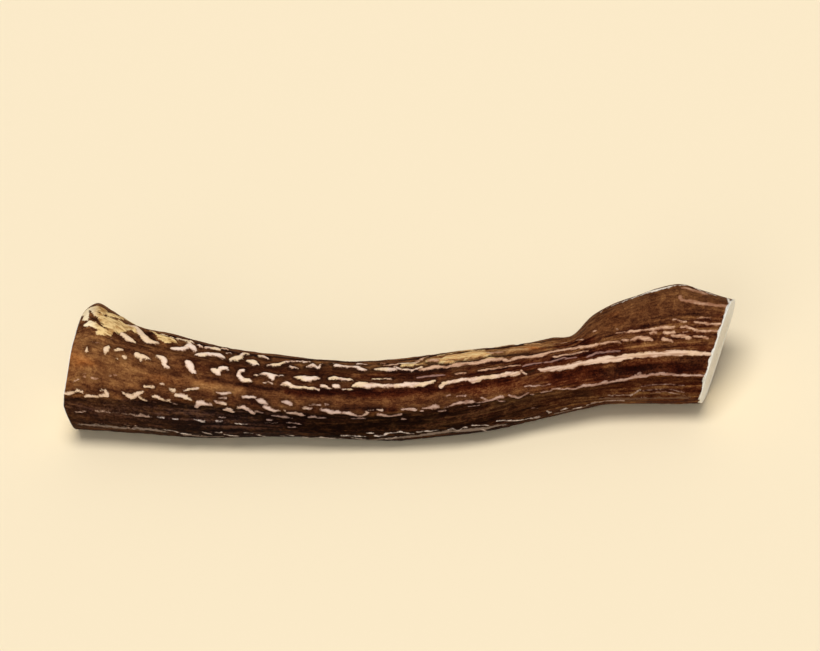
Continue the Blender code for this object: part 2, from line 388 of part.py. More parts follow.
class Bark:
    """The beam's surface as a grid: rows run along it, and columns round it from its back edge.

    around is the distance round the smooth section from the face line, growing towards the belly.
    """

    def __init__(self):
        line = np.linspace(BEAM_START, BEAM_END, ROWS)
        turn = -math.pi / 2 + np.arange(COLUMNS) * 2 * math.pi / COLUMNS
        self.along, self.angle = np.meshgrid(line, turn, indexing="ij")
        self.line = line
        self.radius = section_radius(self.along, self.angle)
        # The axis lies so high that the section's lowest point clears the ground by the lift.
        reach = self.radius * np.cos(self.angle - LEAN)
        self.axis_z = curve_through(LIFT, line) - reach.min(axis=1)
        self.axis_across = curve_through(BELLY_EDGE, line) + curve_through(TO_BELLY, line)
        step = self.radius * 2 * math.pi / COLUMNS
        self.around = np.cumsum(step, axis=1)
        self.around -= self.around[:, [COLUMNS // 2]]
        self.girth = step.sum(axis=1)

    def from_pixels(self, points):
        """(along, around, third value) of a line on the photographed side, given by its pixels."""
        points = np.array(points, float)
        strokes = len(points) - 1
        fine = np.linspace(0, strokes, STEPS_PER_STROKE * strokes + 1)
        x, y, value = (np.interp(fine, np.arange(len(points)), column) for column in points.T)
        along = (x - PIXEL_AT_ORIGIN[0]) * MM_PER_PIXEL
        across = (PIXEL_AT_ORIGIN[1] - y) * MM_PER_PIXEL
        around = []
        seen = (self.angle[0] > 0) & (self.angle[0] < math.pi)
        for row, height in zip(np.searchsorted(self.line, along), across):
            edge = self.axis_across[row] + self.radius[row] * np.cos(self.angle[row])
            around.append(np.interp(-height, -edge[seen], self.around[row, seen]))
        return np.stack([along, around, value * MM_PER_PIXEL], axis=1)

    def from_degrees(self, along, degrees, half_widths):
        """(along, around, half width) of a line given by its angles round the axis from the crest."""
        column = (np.radians(degrees) / (2 * math.pi) + 0.25) % 1 * COLUMNS
        rows = np.searchsorted(self.line, along).clip(0, ROWS - 1)
        around = [np.interp(at, np.arange(COLUMNS), self.around[row]) for row, at in zip(rows, column)]
        return np.stack([along, around, half_widths], axis=1)

    def depth_inside(self, line, reach):
        """How far each grid point lies inside a line of varying width, and the rows within its reach."""
        near = (self.line > line[:, 0].min() - reach) & (self.line < line[:, 0].max() + reach)
        along, around, girth = self.along[near], self.around[near], self.girth[near][:, None]
        depth = np.full(along.shape, -1e3)
        for (x0, s0, w0), (x1, s1, w1) in zip(line, line[1:]):
            dx = x1 - x0
            ds = s1 - s0 - girth * np.round((s1 - s0) / girth)
            px = along - x0
            ps = around - s0 - girth * np.round((around - s0) / girth)
            t = np.clip((px * dx + ps * ds) / (dx * dx + ds * ds), 0, 1)
            depth = np.maximum(depth, w0 + t * (w1 - w0) - np.hypot(px - t * dx, ps - t * ds))
        return near, depth


def far_pearls(bark):
    """Pearls scattered over the far sides from one seed, short at the left and drawn out at the right.

    Each takes, of several random places, the one that lies farthest from all the pearls before it.
    """
    draw = np.random.default_rng(FAR_SEED)
    places = draw.uniform(size=(1, 2))
    for _ in range(FAR_PEARLS - 1):
        tries = draw.uniform(size=(FAR_TRIES, 2))
        apart = np.linalg.norm((tries[:, None] - places) * FAR_SPREAD, axis=-1).min(axis=1)
        places = np.vstack([places, tries[apart.argmax()]])
    pearls = []
    for share, turned in places:
        share *= FAR_CROWDING + (1 - FAR_CROWDING) * share
        length = (FAR_LENGTH + FAR_STREAK * share**2) * draw.lognormal(0, FAR_LENGTH_SPREAD)
        strokes = np.linspace(-0.5, 0.5, FAR_POINTS)
        along = BEAM_START + (BEAM_END - BEAM_START) * share + length * strokes
        ends = (FAR_FIRST_DEGREES, FAR_LAST_DEGREES, FAR_SLANT, FAR_BEND)
        first, last, most_slant, bend = (np.interp(share, (0, 1), values) for values in ends)
        slant = draw.uniform(-1, 1) * most_slant
        degrees = first + turned * (last - first) + slant * strokes + draw.uniform(-bend, bend, FAR_POINTS)
        half_widths = draw.uniform(*FAR_HALF_WIDTH) * draw.uniform(*FAR_TAPER, FAR_POINTS)
        pearls.append(bark.from_degrees(along, degrees, half_widths))
    return pearls


def stands_proud(bark, lines):
    """1 on the lines, 0 off them, and a soft flank between."""
    proud = np.zeros_like(bark.along)
    for line in lines:
        if line[:, 2].max() < FINEST_PEARL:
            continue
        near, depth = bark.depth_inside(line, line[:, 2].max() + FLANK_REACH)
        proud[near] = np.maximum(proud[near], smooth_step(-PEARL_FLANK, PEARL_FLANK, depth))
    return proud


def relief(bark):
    """Height of the bark over the smooth beam: slow lumps, broad ridges and furrows, patches and pearls."""
    height = np.zeros_like(bark.along)
    for rise, length, waves in SLOW_LUMPS:
        height += rise * np.sin(bark.along / length + waves * bark.angle)
    for points, half_width, rise in BROAD_FORMS:
        line = bark.from_pixels([(x, y, 0) for x, y in points])
        near, depth = bark.depth_inside(line, FORM_REACH * half_width)
        height[near] += rise * np.exp(-((depth / half_width) ** 2))

    photographed = CREAM_PEARLS + TAN_PEARLS + DIM_PEARLS + GREY_GLINTS
    seen = [bark.from_pixels(points) for points in photographed]
    pearls = stands_proud(bark, seen + far_pearls(bark))
    patches = stands_proud(bark, [bark.from_pixels(points) for points in WORN_PATCHES])
    worn_down = smooth_step(WORN_FROM, WORN_TO, bark.along)
    pearl_height = PEARL_HEIGHT + (STREAK_HEIGHT - PEARL_HEIGHT) * worn_down
    return height + np.maximum(pearl_height * pearls, PATCH_HEIGHT * patches)


def closed_mesh(name, points):
    """A tube of rings with a fan of faces over each end."""
    rings, sides = points.shape[:2]
    index = np.arange(rings * sides).reshape(rings, sides)
    here, ahead = index[:-1], index[1:]
    faces = np.stack([here, np.roll(here, -1, 1), np.roll(ahead, -1, 1), ahead], axis=-1).reshape(-1, 4)
    first, last = index[0][::-1], index[-1]
    mesh = bpy.data.meshes.new(name)
    mesh.from_pydata(points.reshape(-1, 3).tolist(), [], faces.tolist() + [first.tolist(), last.tolist()])
    mesh.validate()
    return mesh


def bark_points(bark):
    """The bark's points in metres, from the beam's axis, the smooth section and the relief."""
    radius = bark.radius + relief(bark)
    crest, face = radius * np.cos(bark.angle), radius * np.sin(bark.angle)
    axis_y = (bark.axis_across - bark.axis_z * math.cos(LEAN)) / math.sin(LEAN)
    y = axis_y[:, None] + crest * math.sin(LEAN) - face * math.cos(LEAN)
    z = bark.axis_z[:, None] + crest * math.cos(LEAN) + face * math.sin(LEAN)
    return np.stack([bark.along, y, z], axis=-1) * MM


def saw_block(name, saw, side, rest):
    """A cutter with one face in the saw's plane. It lies to the left (side -1) or to the right (side 1)."""
    start, rise, turn = saw
    mesh = bpy.data.meshes.new(name)
    block = bmesh.new()
    bmesh.ops.create_cube(block, size=SAW_BLOCK * MM)
    for corner in block.verts:
        x, y, z = corner.co / MM
        across = z * math.cos(LEAN) + y * math.sin(LEAN)
        depth = z * math.sin(LEAN) - y * math.cos(LEAN)
        on_plane = start + rise * across + turn * depth
        corner.co.x = (on_plane + (x + side * SAW_BLOCK / 2)) * MM
    block.to_mesh(mesh)
    block.free()
    cutter = bpy.data.objects.new(name, mesh)
    cutter.hide_render = True
    cutter.display_type = "WIRE"
    cutter.parent = rest
    bpy.context.scene.collection.objects.link(cutter)
    return cutter


def antler_material():
    material = bpy.data.materials.new("antler")
    material.use_nodes = True
    shader = material.node_tree.nodes["Principled BSDF"]
    shader.inputs["Base Color"].default_value = (0.156, 0.061, 0.022, 1)
    shader.inputs["Roughness"].default_value = 0.45
    shader.inputs["Metallic"].default_value = 0.0
    return material


def stand_on_origin(antler, rest):
    """Moves the whole so that its box is centred over the origin and its lowest point is on the ground."""
    bpy.context.view_layer.update()
    shape = antler.evaluated_get(bpy.context.evaluated_depsgraph_get()).to_mesh()
    corners = np.empty(len(shape.vertices) * 3, np.float32)
    shape.vertices.foreach_get("co", corners)
    corners = corners.reshape(-1, 3).astype(float)
    low, high = corners.min(axis=0), corners.max(axis=0)
    rest.location = (-(low[0] + high[0]) / 2, -(low[1] + high[1]) / 2, -low[2])


def build():
    for old in list(bpy.data.objects):
        bpy.data.objects.remove(old)
    rest = bpy.data.objects.new("rest", None)
    bpy.context.scene.collection.objects.link(rest)

    mesh = closed_mesh("antler", bark_points(Bark()))
    mesh.materials.append(antler_material())
    mesh.shade_smooth()
    mesh.set_sharp_from_angle(angle=math.radians(SHARP_DEGREES))
    antler = bpy.data.objects.new("antler", mesh)
    antler.parent = rest
    bpy.context.scene.collection.objects.link(antler)

    thinned = antler.modifiers.new("keep the relief in fewer faces", "DECIMATE")
    thinned.ratio = KEPT_FACES
    for name, saw, side in (
        ("saw_left", LEFT_SAW, -1),
        ("saw_right", RIGHT_SAW, 1),
        ("saw_left_corner", LEFT_CORNER_SAW, -1),
    ):
        cut = antler.modifiers.new(name, "BOOLEAN")
        cut.operation = "DIFFERENCE"
        cut.object = saw_block(name, saw, side, rest)
    stand_on_origin(antler, rest)


build()
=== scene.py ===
import math

import bpy
import numpy as np
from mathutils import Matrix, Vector


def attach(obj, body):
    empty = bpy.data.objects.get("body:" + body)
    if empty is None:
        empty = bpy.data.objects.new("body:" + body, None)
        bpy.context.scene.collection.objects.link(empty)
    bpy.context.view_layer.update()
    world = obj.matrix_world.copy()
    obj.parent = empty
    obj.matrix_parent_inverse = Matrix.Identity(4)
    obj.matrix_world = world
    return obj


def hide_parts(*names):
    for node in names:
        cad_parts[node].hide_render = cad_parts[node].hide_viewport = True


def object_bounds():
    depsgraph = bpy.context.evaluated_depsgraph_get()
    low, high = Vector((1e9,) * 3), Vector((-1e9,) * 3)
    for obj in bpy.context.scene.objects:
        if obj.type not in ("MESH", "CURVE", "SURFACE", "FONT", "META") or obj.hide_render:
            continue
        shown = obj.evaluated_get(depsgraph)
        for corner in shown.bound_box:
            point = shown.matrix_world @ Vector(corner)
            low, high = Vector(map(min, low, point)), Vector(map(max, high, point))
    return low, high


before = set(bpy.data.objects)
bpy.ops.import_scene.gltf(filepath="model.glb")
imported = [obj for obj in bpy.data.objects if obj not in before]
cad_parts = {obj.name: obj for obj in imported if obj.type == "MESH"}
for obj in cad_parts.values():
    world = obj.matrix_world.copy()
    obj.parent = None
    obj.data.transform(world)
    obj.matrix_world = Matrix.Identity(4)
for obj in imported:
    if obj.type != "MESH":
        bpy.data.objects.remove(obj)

cad_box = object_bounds()

# ---------------------------------------------------------------------------------------------------------
# The antler: one sawn length of a deer's beam, grown in one piece. Its brown bark runs in ridges that
# break up into worn, cream-coloured pearls, and both ends are sawn through the pale bone.
# It lies on its side, and nothing is fixed to it.
# ---------------------------------------------------------------------------------------------------------
MM = 0.001

# The section is laid out on two directions square to the beam. The crest line runs up and back, and the
# face line runs up and forward, towards someone who looks down on the beam at this angle.
LEAN = math.radians(45)

# Both edges of the beam as that onlooker sees them: (along, across), with across growing up the crest line.
CREST_EDGE = [
    (-135, 24.5), (-125, 27.5), (-120, 31), (-117, 34.3), (-113.5, 36), (-108, 33.2), (-101, 28.3),
    (-93.5, 25.8), (-86, 24.7), (-75, 21.8), (-60, 18.4), (-41, 16.2), (-19, 14.9), (3, 15.6), (18, 17.2),
    (37, 19.7), (56, 23.1), (65, 24.8), (71, 31), (78, 35.3), (89, 39.5), (97, 42.4), (105, 43.6),
    (113, 41), (122, 37.8), (135, 34.7),
]
BELLY_EDGE = [
    (-135, -10.5), (-116, -11.5), (-101, -12.3), (-82, -13.1), (-60, -13.8), (-41, -14.1), (-19, -14.8),
    (0, -15), (16, -13.6), (31, -11.5), (46, -8.2), (61, -5.3), (76, -2.5), (89, -1.7), (105, -1.3),
    (122, -0.4), (135, 0.5),
]

# Half the beam's thickness from its axis: down to the belly edge, out to the face and out to the back.
TO_BELLY = [
    (-135, 22.5), (-118, 22.5), (-103, 20.5), (-88, 18), (-73, 17), (-44, 15.3), (0, 15.3), (45, 15.8),
    (75, 16.5), (98, 17.5), (120, 18), (135, 18),
]
TO_FACE = [
    (-135, 19), (-118, 19), (-88, 16), (-44, 14.3), (0, 14), (45, 14.5), (90, 16), (120, 16.5), (135, 16.5),
]
TO_BACK = [
    (-135, 18), (-118, 18), (-88, 15.5), (-44, 14), (0, 13.8), (45, 14.2), (90, 15.5), (120, 16), (135, 16),
]

# How far the beam's underside clears what it lies on, and how square its section is (2 is an ellipse).
LIFT = [(-135, 0), (-115, 0), (-60, 1.2), (-5, 0), (60, 1.2), (112, 0), (135, 0)]
SQUARENESS = [(-135, 2.3), (-90, 2.1), (0, 2.0), (80, 2.2), (108, 2.7), (120, 3.2), (135, 3.2)]

# The saw's planes, as along = start + rise * across + turn * depth, with depth growing along the face line.
LEFT_SAW = (-122.2, 0.165, -0.1)
LEFT_CORNER_SAW = (-123.2, -0.3, -0.1)
RIGHT_SAW = (113.9, 0.32, -0.115)

# The grid: rings along the bark, columns round it, closer together on the photographed side, and rings
# across each sawn end. An edge sharper than this many degrees stays crisp.
RINGS = 416
COLUMNS = 226
FACE_CROWDING = 0.25
END_RINGS = 8
SHARP_DEGREES = 62

# Worn pearls and streaks on the photographed side, in the photograph's pixels: cream ones, tan ones, and
# dim ones, most of them on the lower flank. Each is a line of (x, y, half its width). A pixel is this many
# millimetres on the beam, and the beam's own origin lies at this pixel.
MM_PER_PIXEL = 0.3731
PIXEL_AT_ORIGIN = (401, 400)
CREAM_PEARLS = [
    [(122, 334, 1.8), (126, 337, 2.5), (130, 339.2, 2.3), (136.4, 342, 0.7)],
    [(128.5, 327.5, 1.6), (135.5, 329.6, 2.4), (140, 334.2, 3.2), (144.5, 338.7, 3.4), (148, 342.4, 2.5),
     (157.3, 343.7, 1.3)],
    [(162, 336, 1), (173.6, 340.5, 1)],
    [(171, 348.3, 1.1), (177.3, 349.2, 2), (182.7, 349.2, 2), (189, 347, 3), (193.6, 348.3, 3),
     (196.4, 350.5, 1.4)],
    [(177, 340.6, 1.1), (185.5, 341.7, 1.1), (193, 343, 1)],
    [(190, 344.2, 1.4), (190.5, 346, 1.6)],
    [(196.4, 354.3, 1.1), (201, 354.3, 2.3), (207.3, 353.6, 2.1), (213.6, 353.4, 2.2), (219.5, 354.4, 2.9),
     (222.5, 356, 2.2)],
    [(199, 346, 1.8), (203, 347, 1)],
    [(207, 348, 1.3), (212, 348.3, 1.7), (219, 349, 1.5)],
    [(222, 348, 0.7), (226, 348.5, 0.7)],
    [(225.5, 352.3, 0.5), (232, 352.7, 0.5)],
    [(230.4, 358.2, 1.8), (235.5, 357.5, 3.1), (240, 356.4, 3.2), (243.5, 353.2, 1.7), (248.5, 354, 1.4)],
    [(249.3, 360, 2.3), (252.7, 360.9, 3.1), (256.4, 361.4, 2)],
    [(259, 355.5, 1.1), (263.6, 356.4, 2), (268.2, 358.2, 1.3)],
    [(267.3, 363.6, 1.1), (273.6, 363.4, 2.1), (281, 363.2, 1.8), (285.5, 361.8, 1.5), (289, 362.2, 1.2),
     (299, 361.4, 0.7), (311, 362.3, 1.1)],
    [(290, 365, 0.9), (294.5, 366.8, 1.6), (299, 367.7, 0.7)],
    [(306.4, 366.4, 0.7), (311.8, 365, 1.8), (317.3, 367.3, 1.4), (322.7, 364.5, 1.1)],
    [(295.5, 377.7, 0.9), (299, 377.7, 2), (308, 378.6, 2.7), (315.5, 378.6, 2.5), (319, 379, 1.1)],
    [(212.3, 369.5, 1.1), (216.4, 370.5, 2.5), (218.2, 372.3, 2.3), (221, 368.6, 2), (226.4, 367.7, 1.6),
     (229, 370, 0.9)],
    [(244.5, 370, 1.6), (241, 370.5, 2.3), (239.5, 375, 2), (242.7, 378.6, 2.3), (248.2, 379.5, 2.3),
     (251, 380.5, 1.1)],
    [(255, 375, 0.7), (262.7, 373.6, 1.3), (268.2, 373.6, 1.6), (271.8, 376, 2.9), (276.4, 375, 0.9),
     (282.7, 375, 0.7)],
    [(271.8, 376, 2.4), (272.3, 379, 1.4)],
    [(264.5, 382.3, 0.7), (268.2, 381.4, 0.7), (271.8, 382.7, 0.6)],
    [(281, 384.5, 0.7), (286.4, 383, 2.2), (291, 385, 1.5), (299, 386.7, 1.7), (303.6, 386.8, 1.3),
     (311, 388, 1.2), (319, 389.2, 0.8)],
    [(320, 385, 0.9), (323.6, 386.4, 2), (330, 387.7, 1.1)],
    [(334, 386, 2.3), (339, 386, 2.3)],
    [(342.7, 389, 0.6), (352.7, 389, 0.6)],
    [(329, 379.5, 1.3), (333.6, 378.6, 1.8), (340, 380, 2), (347.3, 380.5, 1.3), (354.5, 381, 0.5)],
    [(331, 363.7, 0.6), (335.5, 364, 0.6)],
    [(336.4, 366, 2), (340, 366.4, 2.5), (343.6, 367.3, 1.7), (351.8, 367.3, 1.4), (358.2, 368.2, 2.4),
     (362.7, 370, 2.5), (367.3, 370.5, 0.7)],
    [(356.4, 364, 1.1), (361, 364.3, 1.3), (367.7, 364.5, 0.7)],
    [(373.6, 369.5, 0.7), (380, 369, 1.6), (387.3, 369.5, 2.3), (392.7, 369.4, 2), (396.4, 369, 0.9)],
    [(399, 363.6, 1.4), (406.4, 363.6, 1.8), (415.5, 363.4, 1.7), (418.5, 362, 1)],
    [(393, 367, 0.7), (399, 368.2, 1.2), (404.5, 369, 1.5), (411, 370, 1.5), (417.3, 368.6, 1.3),
     (422, 367, 1.3)],
    [(373.6, 379.7, 0.5), (382.7, 379.5, 0.7), (391.8, 379.5, 0.5)],
    [(353.6, 386.4, 1.2), (357.3, 385.3, 2.2), (362.7, 385.3, 2.8), (368.2, 386, 3), (373.6, 385.7, 2.2),
     (378.2, 385.2, 1.5), (383.6, 386.2, 1.2), (387.3, 386.3, 1.5), (395.5, 386, 1.7), (400, 385.4, 1.8),
     (407.3, 384.5, 2.3), (415.5, 384.5, 2.2), (422.7, 384.8, 2.3), (427.3, 383.2, 1.8), (434.5, 381, 1.1)],
    [(441, 386, 1.8), (443.6, 383.2, 2), (450, 381, 1.9), (459, 379.5, 1.8), (467.3, 378.6, 1.4),
     (471.8, 379.5, 2.9), (479, 378.6, 2.9), (482.7, 376.8, 2.2), (491, 376.2, 2), (500, 375.1, 2),
     (508.2, 374.2, 2.1), (515.5, 373.4, 2.3), (519, 373, 1.8)],
    [(521, 370.5, 1), (525.5, 374, 1.2)],
    [(537.7, 369.5, 0.9), (542.7, 369.5, 2), (550, 369, 2.5), (559, 368.2, 2.5), (568.2, 366.4, 2.5),
     (577.3, 364, 2.4), (588.8, 362, 2.6), (599.9, 359.9, 3.2), (608.7, 359.3, 3.4), (617.5, 358.6, 3.2),
     (626.4, 357, 2.8), (637.4, 355.3, 2.8), (648.4, 354.4, 2.6), (659.5, 354.4, 2.7), (668.3, 353, 3.1),
     (679.3, 353, 3.1), (690.4, 353.2, 2.6), (701.4, 353.8, 2), (712.5, 353.5, 1.8)],
    [(88.7, 348.8, 0.9), (88.4, 351.5, 1.7)],
    [(109, 347, 1.6), (106, 350.5, 2.9), (105, 354.2, 1.1)],
    [(114.5, 351, 0.6), (120, 349.6, 1.5), (123.6, 350.5, 0.9)],
    [(124, 356.6, 0.9), (127, 357.6, 1.3)],
    [(116.5, 358.7, 0.8), (118, 358.7, 0.8)],
    [(137.3, 355, 2.3), (140.5, 357, 2.7), (144.5, 357.4, 2), (151, 360, 0.5)],
    [(140.5, 358, 1.8), (140.5, 360.5, 1)],
    [(158, 357.6, 1.6), (162.5, 359, 2.6), (165.5, 362, 3.1), (166.6, 365.3, 2.5), (171, 367.2, 0.9)],
    [(165, 363, 1.8), (163, 365, 1.2)],
    [(188, 363.5, 2.7), (190, 365.5, 4), (191, 368.7, 3.7), (193.2, 371.2, 2.2), (196.8, 372.2, 0.8)],
    [(65.5, 391.7, 1.1), (70, 392.5, 1.3), (74.5, 390.8, 1.1), (79, 390.2, 1.3), (83.6, 391.4, 0.5)],
    [(85.6, 395.1, 0.9), (90, 394.6, 1.5), (98.2, 395.3, 1.1), (103.6, 394, 1.3), (108.2, 394.4, 1.3)],
    [(101, 389.4, 0.8), (105.5, 389.4, 1.1), (107.3, 392.5, 2)],
    [(123.6, 392.5, 1.1), (129, 394.4, 1.8), (132.7, 396.2, 2.3), (138.2, 393, 1.8), (142.7, 391.6, 0.9)],
    [(132.7, 396.4, 1.6), (132.7, 398.7, 0.6)],
    [(140, 397, 0.9), (147.3, 400.3, 1.3)],
    [(144.5, 386.6, 1.6), (149.5, 386.6, 1.5), (154.5, 387.3, 0.6)],
    [(160, 383, 0.7), (164, 384.3, 1.1)],
    [(170, 389.4, 1.1), (174, 390.3, 1.8)],
    [(184.5, 390.7, 0.9), (187.3, 389.4, 1.3), (199, 389, 1.1)],
    [(153.6, 397, 0.9), (159, 397, 1.6), (163.6, 399, 1.6), (170, 400.3, 0.7)],
    [(175.5, 395.7, 1.1), (181, 395.3, 2), (186.4, 397, 2.2), (191, 399, 0.7)],
    [(196.4, 407.3, 1.4), (199, 403.6, 2.7), (202.7, 403.2, 2.9), (207.3, 404, 1.8), (212.7, 403.8, 0.5)],
    [(216.4, 392.7, 0.9), (223.6, 393.6, 1.6), (230, 392.3, 0.8)],
    [(221, 398, 0.9), (225.5, 397.7, 0.9)],
    [(215.5, 400.5, 0.9), (220, 401.4, 1.5), (224.5, 403.2, 1.3), (227.3, 403.8, 0.5)],
    [(224, 409, 1.3), (229, 409.5, 2.7), (233.6, 411, 1.8)],
    [(238.2, 406, 0.9), (244.5, 406.4, 1.6), (249, 408.2, 1.6), (252.7, 411.8, 1.6), (254.5, 412.7, 1.2)],
    [(242.7, 396.8, 1), (248.2, 396.4, 2), (255.5, 397.3, 0.9)],
    [(258.2, 399.5, 1.4), (262.7, 401, 2.7), (267.3, 402.7, 1.1)],
    [(264.5, 405, 1.3), (270, 407.3, 1.8), (275.5, 409.5, 1.5), (280, 409.5, 0.7)],
    [(282.7, 401.4, 0.9), (287.3, 401.8, 2), (291, 403.6, 1.6)],
    [(285.5, 409.5, 1.1), (290, 411.4, 1.3), (295.5, 411.4, 1.6), (301, 413.2, 1.6), (304.5, 414, 0.7)],
    [(302.7, 407.3, 0.7), (307.3, 407.3, 1.3), (311.8, 407.7, 0.5)],
    [(310, 404.5, 0.6), (320, 404.7, 0.6)],
    [(321, 408.8, 1.1), (325.5, 409.5, 1.8), (331.8, 411.4, 1.8), (336.4, 411.4, 1.5), (342.7, 412, 1.3),
     (349, 412.3, 2), (353.6, 414, 1.3), (359, 415.5, 1.3), (363.6, 415, 1.3), (367.3, 411.8, 1.5)],
    [(368.2, 409.5, 0.4), (378.2, 409.4, 0.6), (381.8, 409.7, 1.3)],
    [(401.4, 408.8, 0.8), (406.4, 408.8, 1.4), (414.5, 408.8, 1.8)],
]
TAN_PEARLS = [
    [(384, 366, 1.1), (391, 364.6, 1.3), (398, 364.4, 1.2)],
    [(380, 362.7, 0.7), (385.5, 363.2, 0.7)],
    [(416.4, 361.4, 1.4), (421, 359.5, 1.6), (427.3, 357.7, 0.9)],
    [(427.3, 361.4, 1.5), (433, 361, 2.3), (438, 361, 1.8)],
    [(419, 369.5, 1.1), (426.4, 368.6, 1.5), (433.6, 366.8, 1.6), (442.7, 366.8, 1.6), (455.5, 364.8, 1.9),
     (463.6, 363.6, 2.2), (471, 363, 2.2), (478.2, 362.1, 2.2), (484.5, 361.6, 2), (491, 359.9, 2),
     (500, 359.5, 1.5), (509, 359.5, 1.3), (515.5, 357.7, 2), (521.8, 356.4, 1.6), (528.2, 356.4, 1.3),
     (533.6, 356, 2.3), (541, 354.5, 2.6), (546.4, 353.2, 2.1), (550, 351.4, 1.6), (559, 349.5, 2.1),
     (568.2, 348.2, 1.9), (577.3, 346.8, 1.8), (588.8, 346, 1.6), (600, 343.3, 1.4), (608.7, 342, 1.4),
     (620.8, 342, 1)],
    [(552.7, 356, 0.8), (568.2, 354, 0.9), (577.3, 351.8, 0.8), (587.7, 350.5, 1)],
    [(488, 354, 1.1), (495.5, 353.2, 1.6), (502.7, 352.7, 1.2)],
    [(478.2, 370, 0.7), (486.4, 368.6, 1.1), (495.5, 367.3, 1.1), (504.5, 366, 0.9), (513.6, 365, 0.7),
     (520, 364.5, 0.8)],
    [(455.5, 372.7, 1.1), (461, 371.8, 1.3), (465, 371.5, 1)],
    [(554.5, 342.3, 0.7), (566.4, 341.2, 0.8)],
    [(577.3, 338.8, 0.9), (583.6, 338.6, 1)],
    [(594, 330.8, 1.2), (595, 330.8, 1.2)],
    [(612, 328.5, 0.6), (612.5, 328.5, 0.6)],
    [(617, 329, 0.7), (618, 329, 0.7)],
    [(616.4, 333.5, 0.9), (624, 332.4, 0.9), (635, 331.3, 1.1), (646, 330.8, 1.1), (655, 330, 1.1),
     (664, 328.6, 1.5), (673.8, 328, 1.1)],
    [(680.5, 327.5, 1.1), (686, 328, 1.3), (691.5, 330.2, 1.1), (699.2, 331.9, 1.3), (708, 331.7, 1.1),
     (717, 331.3, 1.1)],
    [(649.5, 334, 1.1), (656, 333.5, 1.3)],
    [(664, 333.5, 1.3), (673.8, 333.5, 1.4)],
    [(681.5, 333, 0.8), (687, 333, 0.8)],
    [(672.7, 336.8, 1.3), (679.3, 336.8, 1.7), (690.4, 338.5, 1.2)],
    [(693.7, 336.8, 1.1), (701.4, 336.8, 1.1), (708, 338, 1.5)],
    [(664, 339, 1.9), (672.7, 341.3, 1.1)],
    [(629.7, 340.7, 0.9), (637.4, 337.6, 1.6), (645, 338.5, 2), (651.7, 340, 1.5)],
    [(623, 340.2, 0.9), (627.5, 340.2, 0.9)],
    [(673.8, 320.3, 1), (679.3, 322, 0.8), (686, 322.5, 0.8)],
    [(693.7, 323, 1), (703.6, 323.6, 1.2), (712.5, 324.7, 1.1), (721, 324.7, 1.1)],
    [(697, 318.6, 0.6), (710, 318.4, 0.6)],
    [(681.5, 301, 0.4), (690, 302, 0.5), (700, 303.6, 0.8), (710.3, 305.2, 0.8), (718, 305.8, 0.6),
     (728, 306, 0.8)],
    [(685, 287.7, 0.9), (696, 290.5, 1.1), (706, 293.8, 0.9)],
    [(680.5, 297, 0.4), (681, 299.4, 0.4)],
    [(378, 414.5, 1.3), (382.7, 414.8, 1.6), (387.3, 416.4, 0.9), (392.7, 416, 0.9), (398.2, 415, 1.2),
     (401.8, 414.5, 1.5)],
    [(421.8, 407.7, 0.7), (429, 406.8, 1.5), (434.5, 406, 2.5), (439, 406.4, 1.6)],
    [(438, 411, 0.7), (445.5, 411, 0.7)],
    [(445.5, 407.3, 0.7), (450, 405.5, 0.9), (453.6, 403.6, 1.2), (459, 402.3, 1.5), (465.5, 401.8, 1.9),
     (473.6, 401.4, 1.5)],
    [(468.2, 406.8, 0.7), (480, 405, 0.6)],
    [(473, 402.4, 0.6), (480, 402.2, 0.5), (488, 400.4, 0.8), (494, 398.6, 1.4), (499, 397.2, 1.4),
     (504, 396.8, 0.7)],
    [(481.8, 398, 0.8), (487, 399.2, 0.9)],
    [(497.5, 400, 0.9), (500.5, 402, 0.9), (505.5, 402.2, 0.7)],
    [(507.5, 395, 0.8), (513, 396, 1.5), (517, 398, 1.2), (521, 397, 1.2)],
    [(519.5, 397, 0.9), (523.5, 394.4, 1.1), (529, 392.4, 0.9)],
    [(531, 394.6, 0.7), (534, 394.8, 0.7)],
    [(541, 392.4, 0.8), (547, 391, 0.9), (553, 389.4, 0.6)],
    [(447, 396.4, 0.8), (450, 394.6, 0.6)],
    [(456, 396.8, 0.8), (461, 395.4, 0.8), (466, 395.8, 0.5)],
    [(524.5, 386.4, 0.7), (531.8, 386, 0.9), (541, 385.3, 0.7), (550, 384, 0.5)],
    [(552.7, 388.2, 0.7), (561, 388, 0.9), (568.2, 387.7, 1.1), (573.6, 388.2, 1.3), (577.3, 386, 1.2),
     (586.6, 384.7, 1.7), (594.4, 383.7, 1.3), (604.3, 381.8, 1.5), (616.4, 379.8, 1.5), (627.5, 378.6, 1.5),
     (635.2, 375.9, 1.5), (641.8, 375.9, 1.5), (651.7, 375.1, 1.3), (662.8, 374.2, 1.3), (673.8, 375.1, 1.3),
     (684.9, 375.5, 1.1), (697, 375.9, 1.1), (704, 376.4, 1.1)],
    [(635, 374.5, 0.7), (641, 373, 0.7)],
    [(82, 374.5, 0.6), (87.3, 373.6, 0.6)],
    [(84, 377, 0.9), (86, 377, 0.9)],
    [(91.8, 377.5, 0.9), (98.6, 379, 0.8)],
    [(73.6, 381.6, 0.5), (79.5, 379.4, 0.5)],
    [(92.7, 341.5, 0.7), (99, 342.8, 0.7)],
    [(111.5, 337.8, 0.5), (113, 338, 0.5)],
    [(110, 375.6, 0.5), (117, 375.4, 0.5)],
    [(421, 410.5, 1), (423, 410.5, 1)],
    [(325.5, 404.5, 0.7), (329, 404.3, 0.7)],
]
